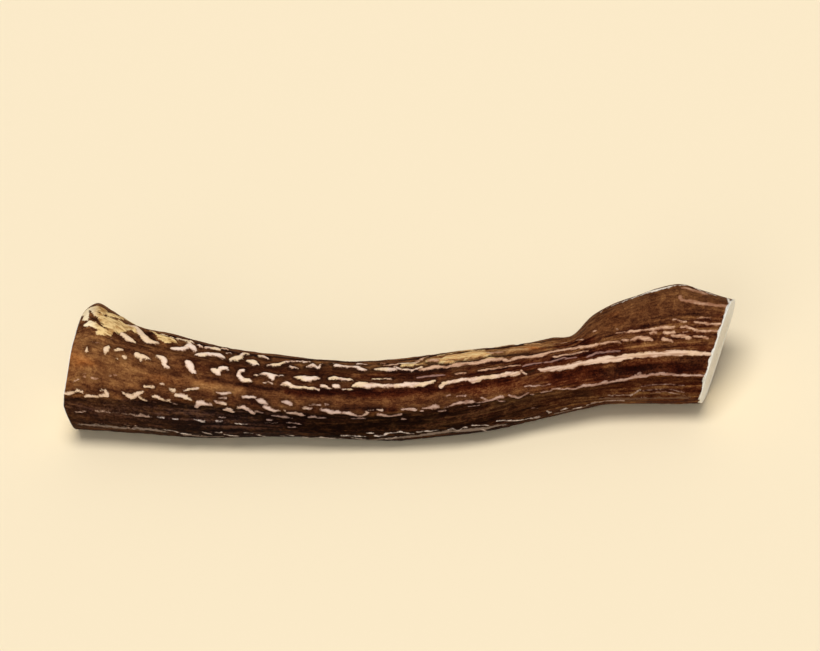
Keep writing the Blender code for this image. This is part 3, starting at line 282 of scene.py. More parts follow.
DIM_PEARLS = [
    [(75.5, 413.5, 1), (80, 412.5, 0.9), (86, 412.5, 0.8)],
    [(96.4, 412.5, 0.5), (107.3, 412.5, 0.5), (116.4, 413.5, 0.5), (127.3, 414.4, 0.5), (137, 415.5, 1),
     (144, 415.5, 1.2), (151, 417, 0.8)],
    [(170.5, 402.5, 0.6), (178, 404.8, 0.6)],
    [(94.5, 424.8, 0.4), (104.5, 424.5, 0.4)],
    [(123.6, 424.8, 0.4), (131, 425.7, 0.4), (138, 424.8, 0.4)],
    [(127, 427, 0.7), (135.5, 428.5, 0.7)],
    [(219, 417.7, 0.8), (226, 418, 0.7)],
    [(256.4, 410.5, 1), (263.6, 411.4, 0.9)],
    [(267, 419, 1.2), (271, 419.5, 1)],
    [(264.5, 422.3, 0.4), (276.4, 422.7, 0.4)],
    [(272.7, 414.5, 0.7), (279, 415.5, 1.3), (285.5, 416.4, 1.3), (292.7, 417.3, 0.5)],
    [(286.4, 422.3, 0.5), (301.8, 424, 0.5)],
    [(289, 426.4, 0.8), (297, 427, 0.7)],
    [(308.2, 416.4, 1.1), (314.5, 416, 1.5), (320, 417.3, 0.9), (326.4, 417.7, 0.7)],
    [(352.3, 418.5, 0.6), (359, 418.2, 0.9), (365.5, 418.6, 0.6)],
    [(400.5, 420.7, 0.7), (406.4, 421, 0.5)],
    [(531, 408.2, 0.4), (537.3, 408.4, 0.4)],
    [(641, 388, 0.5), (652, 386.5, 0.6), (666, 386, 0.5), (684, 388, 0.5)],
    [(642, 392, 0.5), (657, 390.5, 0.5), (672, 391, 0.5), (685, 394, 0.5)],
    [(650.6, 394, 0.5), (664, 393, 0.5), (675, 394.2, 0.6), (686, 397, 0.5)],
    [(640.7, 397.4, 0.5), (657.3, 398, 0.5)],
]
# How bare the bone of each kind is, and how tanned: 0 is cream and 1 is tan.
PEARL_KINDS = [(CREAM_PEARLS, 1.0, 0.0), (TAN_PEARLS, 0.9, 1.0), (DIM_PEARLS, 0.62, 0.5)]

# Marks that aren't pearls, as lines of the same sort. Greyish streaks lie between the rows of pearls.
GREY_STREAKS = [
    [(416.4, 377.7, 0.5), (424.5, 376.4, 0.9), (432.7, 375, 1.3), (444.5, 374.3, 0.7)],
    [(522.7, 366, 0.9), (529, 364.5, 1.3), (534.5, 363.2, 1.1), (541, 362.3, 0.9)],
    [(544.5, 361.8, 1.1), (552.7, 360.5, 1.1), (559, 358.2, 1.1), (567.3, 357.3, 1.1), (575.5, 356.8, 0.9)],
    [(586.6, 356.6, 0.9), (596.6, 353.2, 0.9), (607.6, 351, 0.9), (619.7, 350, 0.9)],
]
# Grey glints and dull grey patches lie low on the flank, along the edge of the belly.
# Both are painted light: the glints as highlights and the patches as dull light, reflected from the floor.
GREY_GLINTS = [
    [(157, 417.3, 0.7), (164, 417.8, 0.7)],
    [(173, 418.8, 0.7), (179, 419.4, 0.7)],
    [(194, 420, 0.7), (200, 421, 0.9), (205, 421.6, 0.8)],
    [(217, 421.8, 0.6), (223, 422.2, 0.6)],
    [(235, 423.4, 0.4), (241, 424.2, 0.6), (247, 424.5, 0.4)],
    [(164, 428.4, 0.6), (172, 429.6, 0.9), (178, 430.8, 0.7)],
    [(181, 431.2, 0.7), (192, 432.6, 0.7)],
    [(203, 430.8, 0.7), (208, 432, 1), (212, 433, 0.7)],
    [(214, 431.2, 0.5), (222, 431.6, 0.5)],
    [(224, 433, 0.8), (230, 434.4, 1.2), (240, 435.2, 0.8)],
    [(280, 435.8, 0.5), (285, 436.4, 0.5)],
    [(244, 432, 0.6), (252, 433, 0.6)],
    [(257, 434.3, 0.6), (265, 436.5, 0.8)],
    [(286, 434.8, 0.8), (292.6, 435.8, 0.8)],
    [(302, 437, 1), (307, 438, 1.3), (312, 439.3, 0.9)],
    [(314, 438.8, 0.7), (321, 436.6, 0.8), (329, 437.8, 0.9), (336, 438.2, 0.7), (344, 438.3, 0.7)],
    [(340, 435.2, 0.5), (352, 435.8, 0.5), (365, 436.6, 0.6)],
    [(353, 438.2, 0.7), (360, 438.8, 1), (366, 439.4, 0.6)],
    [(367, 434.3, 0.8), (373, 434.3, 0.9)],
    [(375.5, 436.4, 0.8), (383, 436.4, 0.7), (387, 435, 1), (391, 434.8, 0.8), (400, 432.7, 0.7)],
    [(385, 439.2, 0.9), (391, 439.5, 0.9), (397, 438, 1.3)],
    [(400.5, 433, 0.8), (407, 434, 0.8), (414.5, 434.8, 0.6)],
    [(417.6, 432.7, 1.1), (421, 432.4, 1)],
    [(424, 431.8, 0.6), (432, 431, 0.6), (438.7, 429.8, 0.7)],
    [(448, 429, 0.7), (453, 428, 0.7), (458, 429.6, 0.7), (463, 426.6, 0.7), (467, 426.3, 0.6)],
    [(472, 424.3, 0.6), (488, 424.1, 0.6)],
    [(480.5, 427.6, 0.9), (487.5, 428.6, 0.8)],
    [(496.5, 419.6, 0.6), (508, 419.2, 0.6), (520, 418.8, 0.6), (526, 418.2, 0.8)],
    [(528, 417.9, 0.8), (534, 417, 1), (540, 416, 1)],
    [(546, 410.8, 0.7), (549, 412.6, 1.5), (551.5, 412, 0.8)],
    [(560, 410.8, 0.8), (564, 409.4, 0.7), (568, 408.5, 0.6)],
    [(574, 409, 0.8), (581, 407.6, 1)],
    [(589, 405.4, 0.8), (593, 403.5, 0.9), (600, 402.3, 0.6), (608, 401, 0.7), (617, 400.5, 0.6),
     (625, 400.5, 0.6)],
    [(608, 396, 0.6), (620, 395.4, 0.6), (630, 394.6, 0.7)],
    [(630.8, 395.2, 0.9), (639.6, 391.3, 0.9)],
]
GREY_PATCHES = [
    [(352, 439.5, 0.8), (375, 440, 1.2), (400, 438.8, 2), (420, 436.8, 2), (440, 432.6, 2.6),
     (462, 429.6, 2.2), (480, 427.8, 2.6), (497, 424.6, 1.6), (506, 423, 1)],
    [(556, 414, 1.2), (575, 410.5, 1.4), (586, 407.6, 1.2)],
    [(600, 399, 1.2), (640, 399, 1.6), (690, 399, 1.4)],
    [(80, 426, 1), (120, 428.6, 1.2), (150, 428.6, 1.8), (166, 430.6, 1.4)],
    [(185, 433.6, 1.2), (200, 434.8, 1.4), (222, 435.8, 1.4)],
]
# Larger patches are worn down to yellow bone, at the knob and over the start of the fork.
WORN_PATCHES = [
    [(91, 308.5, 4.4), (97, 308.5, 5.2), (103, 311.6, 5.4), (110, 315.4, 3.8), (117, 318.2, 3.4),
     (124, 320.8, 3), (133, 323, 1.6)],
    [(94, 311.6, 2.2), (100, 316, 3.2), (106, 322.4, 6.4), (113, 325.6, 8.8), (121, 327, 7.4),
     (127, 329.4, 3.8)],
    [(85, 324.6, 2.6), (90, 323.3, 3.8), (94.5, 324.6, 3.2), (99, 327.6, 2.8), (104, 330.6, 3),
     (111, 332.4, 2.4)],
    [(86, 311, 3.4), (86, 318, 3.4)],
    [(98.5, 332.7, 1.4), (106, 333.6, 1.3)],
    [(729.6, 300, 1.6), (729.4, 303, 1.3)],
    [(124, 326, 2.2), (131, 329.5, 2.8), (138, 333.5, 2.8), (146, 339, 2.4), (155, 343, 1.2)],
    [(146, 331.5, 0.9), (154, 334.5, 1.9), (160.5, 338.4, 4), (167, 341.2, 3.8), (175, 343, 1.8)],
    [(600, 312.4, 0.3), (612, 306.2, 0.8), (626, 300.8, 0.8), (640, 296, 1.1), (650, 292, 1.9),
     (661, 289, 2.5), (668, 287.4, 1.9), (675, 285.7, 1.1), (685, 285.2, 0.9), (695, 288, 0.9),
     (704, 291.8, 0.9), (716, 296.4, 0.6)],
]
# Golden brown patches are worn along the crest. Deep slots in and below the patches hold dirt.
GOLD_PATCHES = [
    [(426, 361.2, 1.8), (433, 360, 2.6), (440, 360.2, 3), (447.3, 358.8, 3.6), (455.5, 357.8, 3.6),
     (461, 357.4, 3.8), (468.2, 356.2, 4.8), (475.5, 355.6, 4.8), (483, 355.4, 4.4), (489, 354.6, 3)],
    [(438, 357.3, 0.8), (447.3, 355.5, 1), (458, 354, 1.2), (470, 352.6, 1.2), (484, 352, 0.9)],
    [(402, 365.4, 0.9), (412, 365, 1.1), (424, 363.6, 1)],
    [(438, 363.2, 1.3), (450, 362.6, 1.9), (462, 361.6, 1.5), (475, 360.4, 1.4), (488, 359, 1.3),
     (503, 357.8, 0.9)],
    [(497, 351.8, 0.8), (503.6, 350.8, 1.1), (513.6, 349.8, 1.4), (522.7, 349, 1.4), (530, 348, 1)],
    [(495.5, 347.7, 1.1), (504.5, 346.8, 1.2), (513.6, 345, 1)],
    [(526.4, 343.6, 1.1), (533.6, 343.2, 1.2), (541, 342.3, 0.9)],
]
DARK_SLOTS = [
    [(91, 315.2, 1), (95, 317, 1.2), (99.5, 320.6, 0.8), (104, 324.6, 0.5)],
    [(115.6, 331, 0.5), (119.4, 333, 0.8)],
    [(100, 309.6, 0.6), (109, 313.3, 0.8)],
    [(151, 337, 1.8), (154.5, 339.5, 1.6)],
    [(438, 363.2, 1.1), (446, 363.8, 1.5), (452, 363.4, 1.2)],
    [(455.5, 361.8, 1.1), (462, 361, 1.5), (470, 360.6, 1.3), (480, 359.4, 1.2), (487, 357.6, 1.1)],
    [(427, 363, 1), (432, 364, 1.3), (438, 362.6, 1)],
    [(490, 355.8, 1.5), (500, 355.2, 1.7), (512, 353.6, 1.6), (527, 352, 1.5)],
    [(527, 371.5, 1.2), (533, 370.5, 1.8)],
]
MARKS = {
    "worn": WORN_PATCHES, "gold": GOLD_PATCHES, "grey": GREY_STREAKS, "glint": GREY_GLINTS,
    "dull": GREY_PATCHES, "slot": DARK_SLOTS,
}

# Broad ridges and furrows: a line in the same pixels, half the width in millimetres, and the height. The
# second is the sharp turn to the lower flank.
FLANK_EDGE = [(60, 394), (150, 397), (260, 407), (370, 413), (440, 406), (550, 387), (660, 375), (735, 378)]
SMOOTH_BAND = [(60, 370), (150, 373), (250, 386), (330, 396), (430, 396), (560, 378), (735, 365)]
BROAD_FORMS = [
    (SMOOTH_BAND, 5.5, -0.9),
    (FLANK_EDGE, 2.2, 1.0),
    ([(60, 404), (150, 408), (260, 419), (370, 427), (440, 418), (550, 399), (660, 385), (735, 388)],
     3.2, -0.8),
    ([(60, 350), (150, 356), (250, 372), (370, 382), (450, 380), (560, 366), (660, 352), (735, 353)],
     3.0, 0.5),
    ([(60, 335), (130, 340), (250, 365), (370, 375), (450, 372), (560, 358), (660, 345), (735, 345)],
     2.4, -0.6),
]

# Broad differences in the bark's brown: a line, half the width in millimetres, how much lighter the brown
# is there, and how much warmer.
BROAD_COLOURS = [
    # The first line is painted shade along the crest, where the surface turns away from the light.
    ([(140, 334), (170, 337), (200, 344), (240, 352.5), (291, 358.5), (350, 361.5), (409, 359.5),
      (449, 355.5), (500, 348.5), (551, 339)], 0.9, -0.3, 0.0),
    ([(72, 335), (76, 360), (72, 385)], 3.5, 0.06, 0.35),
    ([(85, 362), (120, 365), (160, 372)], 4.5, 0.1, 0.15),
    ([(84, 338), (112, 342)], 3.0, 0.08, 0.1),
    ([(72, 387), (105, 388)], 2.0, -0.06, 0.0),
    ([(90, 378), (104, 380), (120, 384), (136, 386)], 2.4, 0.1, 0.1),
    ([(134, 364), (146, 366), (158, 370.5), (180, 374)], 1.3, -0.12, 0.0),
    ([(196, 376.5), (216, 378.5), (232, 382.5), (248, 385), (264, 387.5), (280, 389.5)], 1.1, -0.18, 0.0),
    ([(150, 378), (180, 381)], 3.0, -0.03, 0.3),
    ([(198, 384), (240, 390)], 2.6, 0.17, 0.2),
    ([(365, 396), (395, 396)], 2.4, -0.04, 0.0),
    ([(415, 394), (445, 393)], 2.4, 0.05, 0.1),
    ([(190, 362), (260, 369), (330, 375), (420, 374), (500, 366), (560, 360)], 3.0, -0.12, -0.3),
    ([(455, 387), (520, 384)], 2.4, 0.03, -0.8),
    ([(345, 407.5), (370, 408.5), (395, 409)], 1.2, -0.17, 0.0),
    ([(518, 390), (540, 388)], 2.4, 0.06, 0.3),
    ([(552, 380), (580, 378)], 2.2, -0.11, -0.5),
    ([(590, 373), (605, 372)], 2.4, -0.08, -0.1),
    ([(620, 370), (700, 366.5)], 2.4, -0.21, -0.1),
    ([(556, 359), (575, 356), (600, 351), (620, 348)], 2.0, -0.18, -0.6),
    ([(522, 361), (538, 359)], 1.4, 0.12, 0.0),
    ([(556, 374.5), (575, 371), (600, 367.5)], 1.5, -0.13, -0.3),
    ([(498, 402), (515, 400), (535, 396)], 1.6, 0.13, 0.2),
    ([(632, 327), (660, 324)], 2.0, -0.08, 0.0),
    ([(455, 368.5), (500, 364.5)], 1.3, 0.13, 0.2),
    ([(355, 374.5), (395, 374.5)], 1.4, 0.1, 0.0),
    ([(196, 395), (220, 397), (240, 401), (262, 404)], 1.5, -0.14, 0.0),
    ([(636, 393), (655, 393.5), (690, 397)], 1.6, 0.13, -0.2),
    ([(500, 405), (570, 398), (630, 390)], 3.6, 0.06, 0.0),
    ([(655, 388), (700, 386)], 3.4, -0.06, 0.0),
    ([(600, 391), (650, 390), (705, 393)], 3.0, -0.02, -0.8),
    ([(545, 345), (588, 340)], 2.4, -0.08, -1.0),
    ([(598, 339), (612, 338.5)], 1.5, 0.08, 0.0),
    ([(526, 347), (545, 347.5)], 1.2, 0.08, 1.2),
    ([(420, 361.4), (450, 358.5), (490, 354), (520, 348), (548, 343.5)], 2.8, 0.24, 1.2),
    ([(340, 366.5), (400, 367)], 1.8, 0.08, 0.5),
    # This line is painted shadow under the main streak.
    ([(288, 390.5), (310, 391.3), (335, 392), (362, 391.5), (400, 392.5), (440, 388.5), (480, 384),
      (508, 380.5)], 1.7, -0.17, -0.9),
    ([(620, 315), (680, 308)], 5.0, 0.02, 0.2),
]
# Bands are followed this many half widths out, past which nothing of them shows.
FORM_REACH, COLOUR_REACH = 4, 3
# The smooth band's half width in millimetres, and the foot of the hump where the fork begins.
BAND_HALF_WIDTH = 6.0
HUMP_FOOT = [(560, 346), (600, 337), (650, 326), (700, 316), (735, 312)]

# Pearls on the sides that the photograph doesn't show: how many, out of how many tries each takes its
# place, and the degrees round from the crest, at the left and the right end, that they lie between.
FAR_PEARLS, FAR_TRIES, FAR_SEED = 185, 16, 11
FAR_FIRST_DEGREES, FAR_LAST_DEGREES = (192, 197), (349, 322)
# Their spread in millimetres along and round the beam, with the length drawn in, as pearls lie lengthwise.
FAR_SPREAD = (140, 42)
# How strongly they crowd towards the left end, how long each is in millimetres, and by how many degrees
# it slants and bends. Of a pair, the second number is what the way to the right end adds to the first.
FAR_CROWDING = 0.4
FAR_LENGTH, FAR_SLANT, FAR_BEND = (1.8, 13), (9, -8), (3, -2)
# How uneven the lengths are, the half widths in millimetres, the share of one that is left along a pearl,
# the points of its line, and how bare and how tanned it is.
FAR_UNEVENNESS, FAR_HALF_WIDTHS, FAR_TAPER, FAR_POINTS = 0.6, (0.45, 1.2), (0.35, 1), 4
FAR_BARE, FAR_TANNED, BARE_SEED = (0.2, 1.0), (0.0, 1.0), 5

# The beam is measured between these places along it, which lie past both cuts. A cut's place depends on
# the surface that it cuts, so it is found in a few rounds from a first guess.
BEAM_START, BEAM_END = -135.0, 135.0
LEFT_GUESS, RIGHT_GUESS, SAW_ROUNDS = -122.0, 118.0, 6
# Noise is laid on the beam as if it were a straight cylinder of this radius.
STRAIGHT_RADIUS = 16

# Heights and depths in millimetres. Pearls stand proud at the left end and are worn down to flat streaks
# at the right, and their flanks reach this far to either side of the outline.
PEARL_HEIGHT, STREAK_HEIGHT, PEARL_FLANK = 0.55, 0.2, 0.35
PATCH_HEIGHT, GREY_HEIGHT, FIBRE_HEIGHT, GRAIN_HEIGHT = 0.4, 0.3, 0.22, 0.1
# A moat is the hollow round a pearl, and furrows lie between the pearls of the far side.
SLOT_DEPTH, FURROW_DEPTH = 1.1, 0.5
MOAT_DEPTH, MOAT_DISTANCE, MOAT_HALF_WIDTH = 0.3, 1.0, 0.6
# Long swells of the whole beam: the height of the wave, the length along the beam in which it goes on by
# one radian, and how many waves go round.
SWELLS = [(0.35, 17, 2), (0.3, 9.5, -3)]
# The bark's distance from the rim of a sawn end is followed up to this many millimetres.
RIM_REACH = 9


def curve_through(stations, at):
    """A smooth curve through (place, value) stations: cubic pieces, with slopes from the neighbours."""
    place, value = np.array(stations, float).T
    slope = np.gradient(value, place)
    i = np.clip(np.searchsorted(place, at) - 1, 0, len(place) - 2)
    width = place[i + 1] - place[i]
    t = np.clip((at - place[i]) / width, 0, 1)
    start = (1 + 2 * t) * (1 - t) ** 2 * value[i] + t * (1 - t) ** 2 * width * slope[i]
    end = t * t * (3 - 2 * t) * value[i + 1] + t * t * (t - 1) * width * slope[i + 1]
    return start + end


def smooth_step(low, high, value):
    """0 at low and beyond it, 1 at high and beyond it, and 3t^2 - 2t^3 between them."""
    t = np.clip((value - low) / (high - low), 0, 1)
    return t * t * (3 - 2 * t)


def cloud(points, seed):
    """Smooth random values in -1..1: random numbers on a unit lattice, blended between the eight nearest."""
    size = 64
    lattice = np.random.default_rng(seed).uniform(-1, 1, (size, size, size))
    cell = np.floor(points).astype(int)
    t = points - cell
    t = t * t * (3 - 2 * t)
    total = np.zeros(points.shape[:-1])
    for corner in np.ndindex(2, 2, 2):
        weight = np.prod(np.where(corner, t, 1 - t), axis=-1)
        i, j, k = np.moveaxis((cell + corner) % size, -1, 0)
        total += weight * lattice[i, j, k]
    return total


def section_radius(along, angle):
    """Distance from the axis to the smooth beam: a superellipse with its own half-size on each side."""
    belly = curve_through(TO_BELLY, along)
    crest = curve_through(CREST_EDGE, along) - curve_through(BELLY_EDGE, along) - belly
    up, out = np.cos(angle), np.sin(angle)
    height = np.abs(up) / np.where(up > 0, crest, belly)
    width = np.abs(out) / np.where(out > 0, curve_through(TO_FACE, along), curve_through(TO_BACK, along))
    power = curve_through(SQUARENESS, along)
    return (height**power + width**power) ** (-1 / power)


class Beam:
    """The smooth beam, measured once on a regular table of stations along it and turns round it.

    An angle turns from the crest line towards the face line. around is the distance round the section from
    the face line, growing towards the belly.
    """

    STATIONS, TURNS = 541, 360
    CUTS_PER_STROKE = 6

    def __init__(self):
        self.line = np.linspace(BEAM_START, BEAM_END, self.STATIONS)
        self.turn = -math.pi / 2 + np.arange(self.TURNS + 1) * 2 * math.pi / self.TURNS
        self.radius = section_radius(*np.meshgrid(self.line, self.turn, indexing="ij"))
        step = (self.radius[:, 1:] + self.radius[:, :-1]) / 2 * (2 * math.pi / self.TURNS)
        self.around = np.pad(np.cumsum(step, axis=1), ((0, 0), (1, 0)))
        self.around -= self.around[:, [self.TURNS // 2]]
        self.girth = self.around[:, -1] - self.around[:, 0]
        # The axis lies so high that the section's lowest point clears the ground by the lift.
        reach = self.radius * np.cos(self.turn - LEAN)
        self.axis_z = curve_through(LIFT, self.line) - reach.min(axis=1)
        self.axis_across = curve_through(BELLY_EDGE, self.line) + curve_through(TO_BELLY, self.line)

    def around_at(self, along, angle):
        """The table of distances round the section, read between its four nearest entries."""
        row = (along - BEAM_START) / (BEAM_END - BEAM_START) * (self.STATIONS - 1)
        column = (angle - self.turn[0]) / (2 * math.pi) * self.TURNS
        i = np.clip(row.astype(int), 0, self.STATIONS - 2)
        j = np.clip(column.astype(int), 0, self.TURNS - 1)
        s, t = row - i, column - j
        near = self.around[i, j] * (1 - t) + self.around[i, j + 1] * t
        far = self.around[i + 1, j] * (1 - t) + self.around[i + 1, j + 1] * t
        return near * (1 - s) + far * s

    def from_pixels(self, points):
        """(along, around, half width) of a line on the photographed side, given by points in its pixels.

        A line whose points give no half width has none.
        """
        points = np.array(points, float)
        points = np.pad(points, ((0, 0), (0, 3 - points.shape[1])))
        strokes = len(points) - 1
        fine = np.linspace(0, strokes, self.CUTS_PER_STROKE * strokes + 1)
        x, y, half_width = (np.interp(fine, np.arange(strokes + 1), column) for column in points.T)
        along = (x - PIXEL_AT_ORIGIN[0]) * MM_PER_PIXEL
        across = (PIXEL_AT_ORIGIN[1] - y) * MM_PER_PIXEL
        seen = (self.turn > 0) & (self.turn < math.pi)
        around = []
        for row, height in zip(np.searchsorted(self.line, along), across):
            edge = self.axis_across[row] + self.radius[row, seen] * np.cos(self.turn[seen])
            around.append(np.interp(-height, -edge, self.around[row, seen]))
        return np.stack([along, around, half_width * MM_PER_PIXEL], axis=1)

    def from_degrees(self, along, degrees, half_widths):
        """(along, around, half width) of a line given by its angles round the axis from the crest."""
        angle = (np.radians(degrees) + math.pi / 2) % (2 * math.pi) - math.pi / 2
        around = self.around_at(np.clip(along, BEAM_START, BEAM_END), angle)
        return np.stack([along, around, half_widths], axis=1)

    def place(self, along, angle, proud=0.0):
        """(along, across, depth) of the surface raised by proud, with depth growing along the face line."""
        radius = section_radius(along, angle) + proud
        axis_across = np.interp(along, self.line, self.axis_across)
        axis_z = np.interp(along, self.line, self.axis_z)
        axis_y = (axis_across - axis_z * math.cos(LEAN)) / math.sin(LEAN)
        axis_depth = axis_z * math.sin(LEAN) - axis_y * math.cos(LEAN)
        return along, axis_across + radius * np.cos(angle), axis_depth + radius * np.sin(angle)


def on_saw(saw, across, depth):
    """Where along the beam one of the saw's planes passes the given places across it and in depth."""
    start, rise, turn = saw
    return start + rise * across + turn * depth


def left_end(across, depth):
    """The left cut: two planes, of which the one that lies farther in shows."""
    return np.maximum(on_saw(LEFT_SAW, across, depth), on_saw(LEFT_CORNER_SAW, across, depth))


def right_end(across, depth):
    """The right cut: one plane."""
    return on_saw(RIGHT_SAW, across, depth)


def bark_grid(beam):
    """Places along and turns round of every bark point: even steps between the two saw cuts."""
    turn = np.arange(COLUMNS) * 2 * math.pi / COLUMNS
    angle = turn - math.pi / 2 + FACE_CROWDING * np.sin(turn)
    ends = []
    for cut, guess in ((left_end, LEFT_GUESS), (right_end, RIGHT_GUESS)):
        along = np.full(COLUMNS, guess)
        for _ in range(SAW_ROUNDS):
            along = cut(*beam.place(along, angle)[1:])
        ends.append(along)
    share = np.linspace(0, 1, RINGS)[:, None]
    return ends[0] + share * (ends[1] - ends[0]), np.broadcast_to(angle, (RINGS, COLUMNS))


def depth_inside(lines, spots, outside=-6.0):
    """How far each spot lies inside the nearest of several lines of varying width, and that line's number.

    A spot is its place along, its distance round and the girth there. A line is a chain of round-ended
    strokes, and the depth is the half width less the distance, in millimetres, and never under outside.
    """
    along, around, girth = spots
    no_length = 1e-9
    depth = np.full(along.shape, outside)
    nearest = np.zeros(along.shape, int)
    for number, line in enumerate(lines):
        reach = line[:, 2].max() - outside
        near = (along > line[:, 0].min() - reach) & (along < line[:, 0].max() + reach)
        x, s, whole = along[near], around[near], girth[near]
        best = np.full(x.shape, outside)
        for (x0, s0, w0), (x1, s1, w1) in zip(line, line[1:]):
            dx = x1 - x0
            ds = s1 - s0 - whole * np.round((s1 - s0) / whole)
            px = x - x0
            ps = s - s0 - whole * np.round((s - s0) / whole)
            t = np.clip((px * dx + ps * ds) / np.maximum(dx * dx + ds * ds, no_length), 0, 1)
            best = np.maximum(best, w0 + t * (w1 - w0) - np.hypot(px - t * dx, ps - t * ds))
        nearest[near] = np.where(best > depth[near], number, nearest[near])
        depth[near] = np.maximum(best, depth[near])
    return depth, nearest


def soft_band(beam, pixels, spots, half_width, reach):
    """1 on a line given in pixels, falling off as exp(-t^2), where t is the distance in half widths."""
    depth, _ = depth_inside([beam.from_pixels(pixels)], spots, outside=-reach * half_width)
    return np.exp(-((depth / half_width) ** 2))


def side_of(beam, pixels, spots):
    """Signed distance round the beam from a line given in pixels: positive towards the belly."""
    along, around, _ = spots
    line = beam.from_pixels(pixels)
    return around - np.interp(along, line[:, 0], line[:, 1])


def far_pearls(beam):
    """Pearls scattered over the far sides from one seed: short at the left, drawn out at the right.

    Each takes, of several random places, the one that lies farthest from all the pearls before it.
    """
    draw = np.random.default_rng(FAR_SEED)
    places = draw.uniform(size=(1, 2))
    for _ in range(FAR_PEARLS - 1):
        tries = draw.uniform(size=(FAR_TRIES, 2))
        apart = np.linalg.norm((tries[:, None] - places) * FAR_SPREAD, axis=-1).min(axis=1)
        places = np.vstack([places, tries[apart.argmax()]])
    stroke = np.linspace(-0.5, 0.5, FAR_POINTS)
    pearls = []
    for share, turned in places:
        share *= 1 - FAR_CROWDING + FAR_CROWDING * share
        length = (FAR_LENGTH[0] + FAR_LENGTH[1] * share**2) * draw.lognormal(0, FAR_UNEVENNESS)
        along = BEAM_START + (BEAM_END - BEAM_START) * share + length * stroke
        first, last = (np.interp(share, (0, 1), ends) for ends in (FAR_FIRST_DEGREES, FAR_LAST_DEGREES))
        slant = draw.uniform(-1, 1) * (FAR_SLANT[0] + FAR_SLANT[1] * share)
        bend = FAR_BEND[0] + FAR_BEND[1] * share
        degrees = first + turned * (last - first) + slant * stroke + draw.uniform(-bend, bend, FAR_POINTS)
        half_widths = draw.uniform(*FAR_HALF_WIDTHS) * draw.uniform(*FAR_TAPER, FAR_POINTS)
        pearls.append(beam.from_degrees(along, degrees, half_widths))
    return pearls


def bark_fields(beam, spots, angle, straight):
    """What the bark's height and colours are worked out from, at every grid point.

    Pearls and marks give the depth inside their outlines, flank gives a distance, and the others are shares.
    """
    along, around, girth = spots
    # The outlines are pushed about by slow noise, so that no pearl is a plain bean.
    ragged_along = along + 0.5 * cloud(straight / 2.1, 1) + 0.25 * cloud(straight / 0.9, 2)
    ragged_around = around + 0.3 * cloud(straight / 1.9, 3) + 0.18 * cloud(straight / 0.8, 4)
    ragged = (ragged_along, ragged_around, girth)
    fields = {
        name: depth_inside([beam.from_pixels(line) for line in lines], ragged)[0]
        for name, lines in MARKS.items()
    }

    # How bare and how tanned a pearl is follows from its kind, and is drawn for the scattered ones.
    scattered = far_pearls(beam)
    seen = [beam.from_pixels(line) for lines, _, _ in PEARL_KINDS for line in lines]
    pearl, nearest = depth_inside(seen + scattered, ragged)
    known = [(bare, tanned) for lines, bare, tanned in PEARL_KINDS for _ in lines]
    draw = np.random.default_rng(BARE_SEED)
    drawn = [draw.uniform(*limits, len(scattered)) for limits in (FAR_BARE, FAR_TANNED)]
    fields["bare"], fields["tanned"] = np.hstack([np.transpose(known), drawn])[:, nearest]
    fields["pearl"] = pearl

    # Degrees from the crest are positive on the photographed side and negative behind it. Patches over the
    # start of the fork end at the crest.
    degrees = (np.degrees(angle) + 180) % 360 - 180
    fields["worn"] -= 3 * smooth_step(0, -8, degrees) * smooth_step(0, 60, along)
    far = smooth_step(-2, -16, degrees) * smooth_step(-178, -164, degrees)
    # The far sides have furrows between their pearls, along the lines where slow noise passes nought.
    ridge = cloud(straight * [0.05, 0.3, 0.3], 8) + 0.4 * cloud(straight * [0.12, 0.8, 0.8], 9)
    fields["furrow"] = far * np.exp(-((ridge / 0.2) ** 2)) * (1 - smooth_step(-0.8, 0.2, pearl))

    fields["band"] = np.exp(-((side_of(beam, SMOOTH_BAND, spots) / BAND_HALF_WIDTH) ** 2))
    fields["flank"] = side_of(beam, FLANK_EDGE, spots)
    fields["hump"] = smooth_step(-1, 3, -side_of(beam, HUMP_FOOT, spots)) * smooth_step(62, 74, along)
    shade, warmth = np.zeros(along.shape), np.zeros(along.shape)
    for pixels, half_width, lighter, warmer in BROAD_COLOURS:
        share = soft_band(beam, pixels, spots, half_width, COLOUR_REACH)
        shade += lighter * share
        warmth += warmer * share
    return fields | {"shade": shade, "warmth": warmth}


def bark_height(beam, spots, angle, straight, fields):
    """The bark's height over the smooth beam: swells, ridges, raised marks, hollows and fibres, added up."""
    along, pearl = spots[0], fields["pearl"]
    height = sum(rise * np.sin(along / length + turns * angle) for rise, length, turns in SWELLS)
    for pixels, half_width, rise in BROAD_FORMS:
        height += rise * soft_band(beam, pixels, spots, half_width, FORM_REACH)
    proud = PEARL_HEIGHT + (STREAK_HEIGHT - PEARL_HEIGHT) * smooth_step(-50, 30, along)
    height += proud * smooth_step(-PEARL_FLANK, PEARL_FLANK, pearl)
    patch = smooth_step(-0.6, 0.6, np.maximum(fields["worn"], fields["gold"]))
    height += PATCH_HEIGHT * patch * (1 - smooth_step(-0.4, 0.4, pearl))
    height += GREY_HEIGHT * smooth_step(-0.4, 0.4, np.maximum(fields["grey"], fields["glint"]))
    height -= SLOT_DEPTH * smooth_step(-0.5, 0.4, fields["slot"])
    # The bark is smoother on the hump and along the smooth band.
    rough = 1 - 0.75 * np.maximum(fields["hump"], 0.7 * fields["band"])
    height -= MOAT_DEPTH * np.exp(-(((pearl + MOAT_DISTANCE) / MOAT_HALF_WIDTH) ** 2)) * rough
    height -= FURROW_DEPTH * fields["furrow"]
    fibre = cloud(straight * [0.07, 0.8, 0.8], 5) + 0.5 * cloud(straight * [0.2, 1.5, 1.5], 6)
    height += (FIBRE_HEIGHT * fibre + GRAIN_HEIGHT * cloud(straight * [0.6, 1.2, 1.2], 7)) * rough
    return height


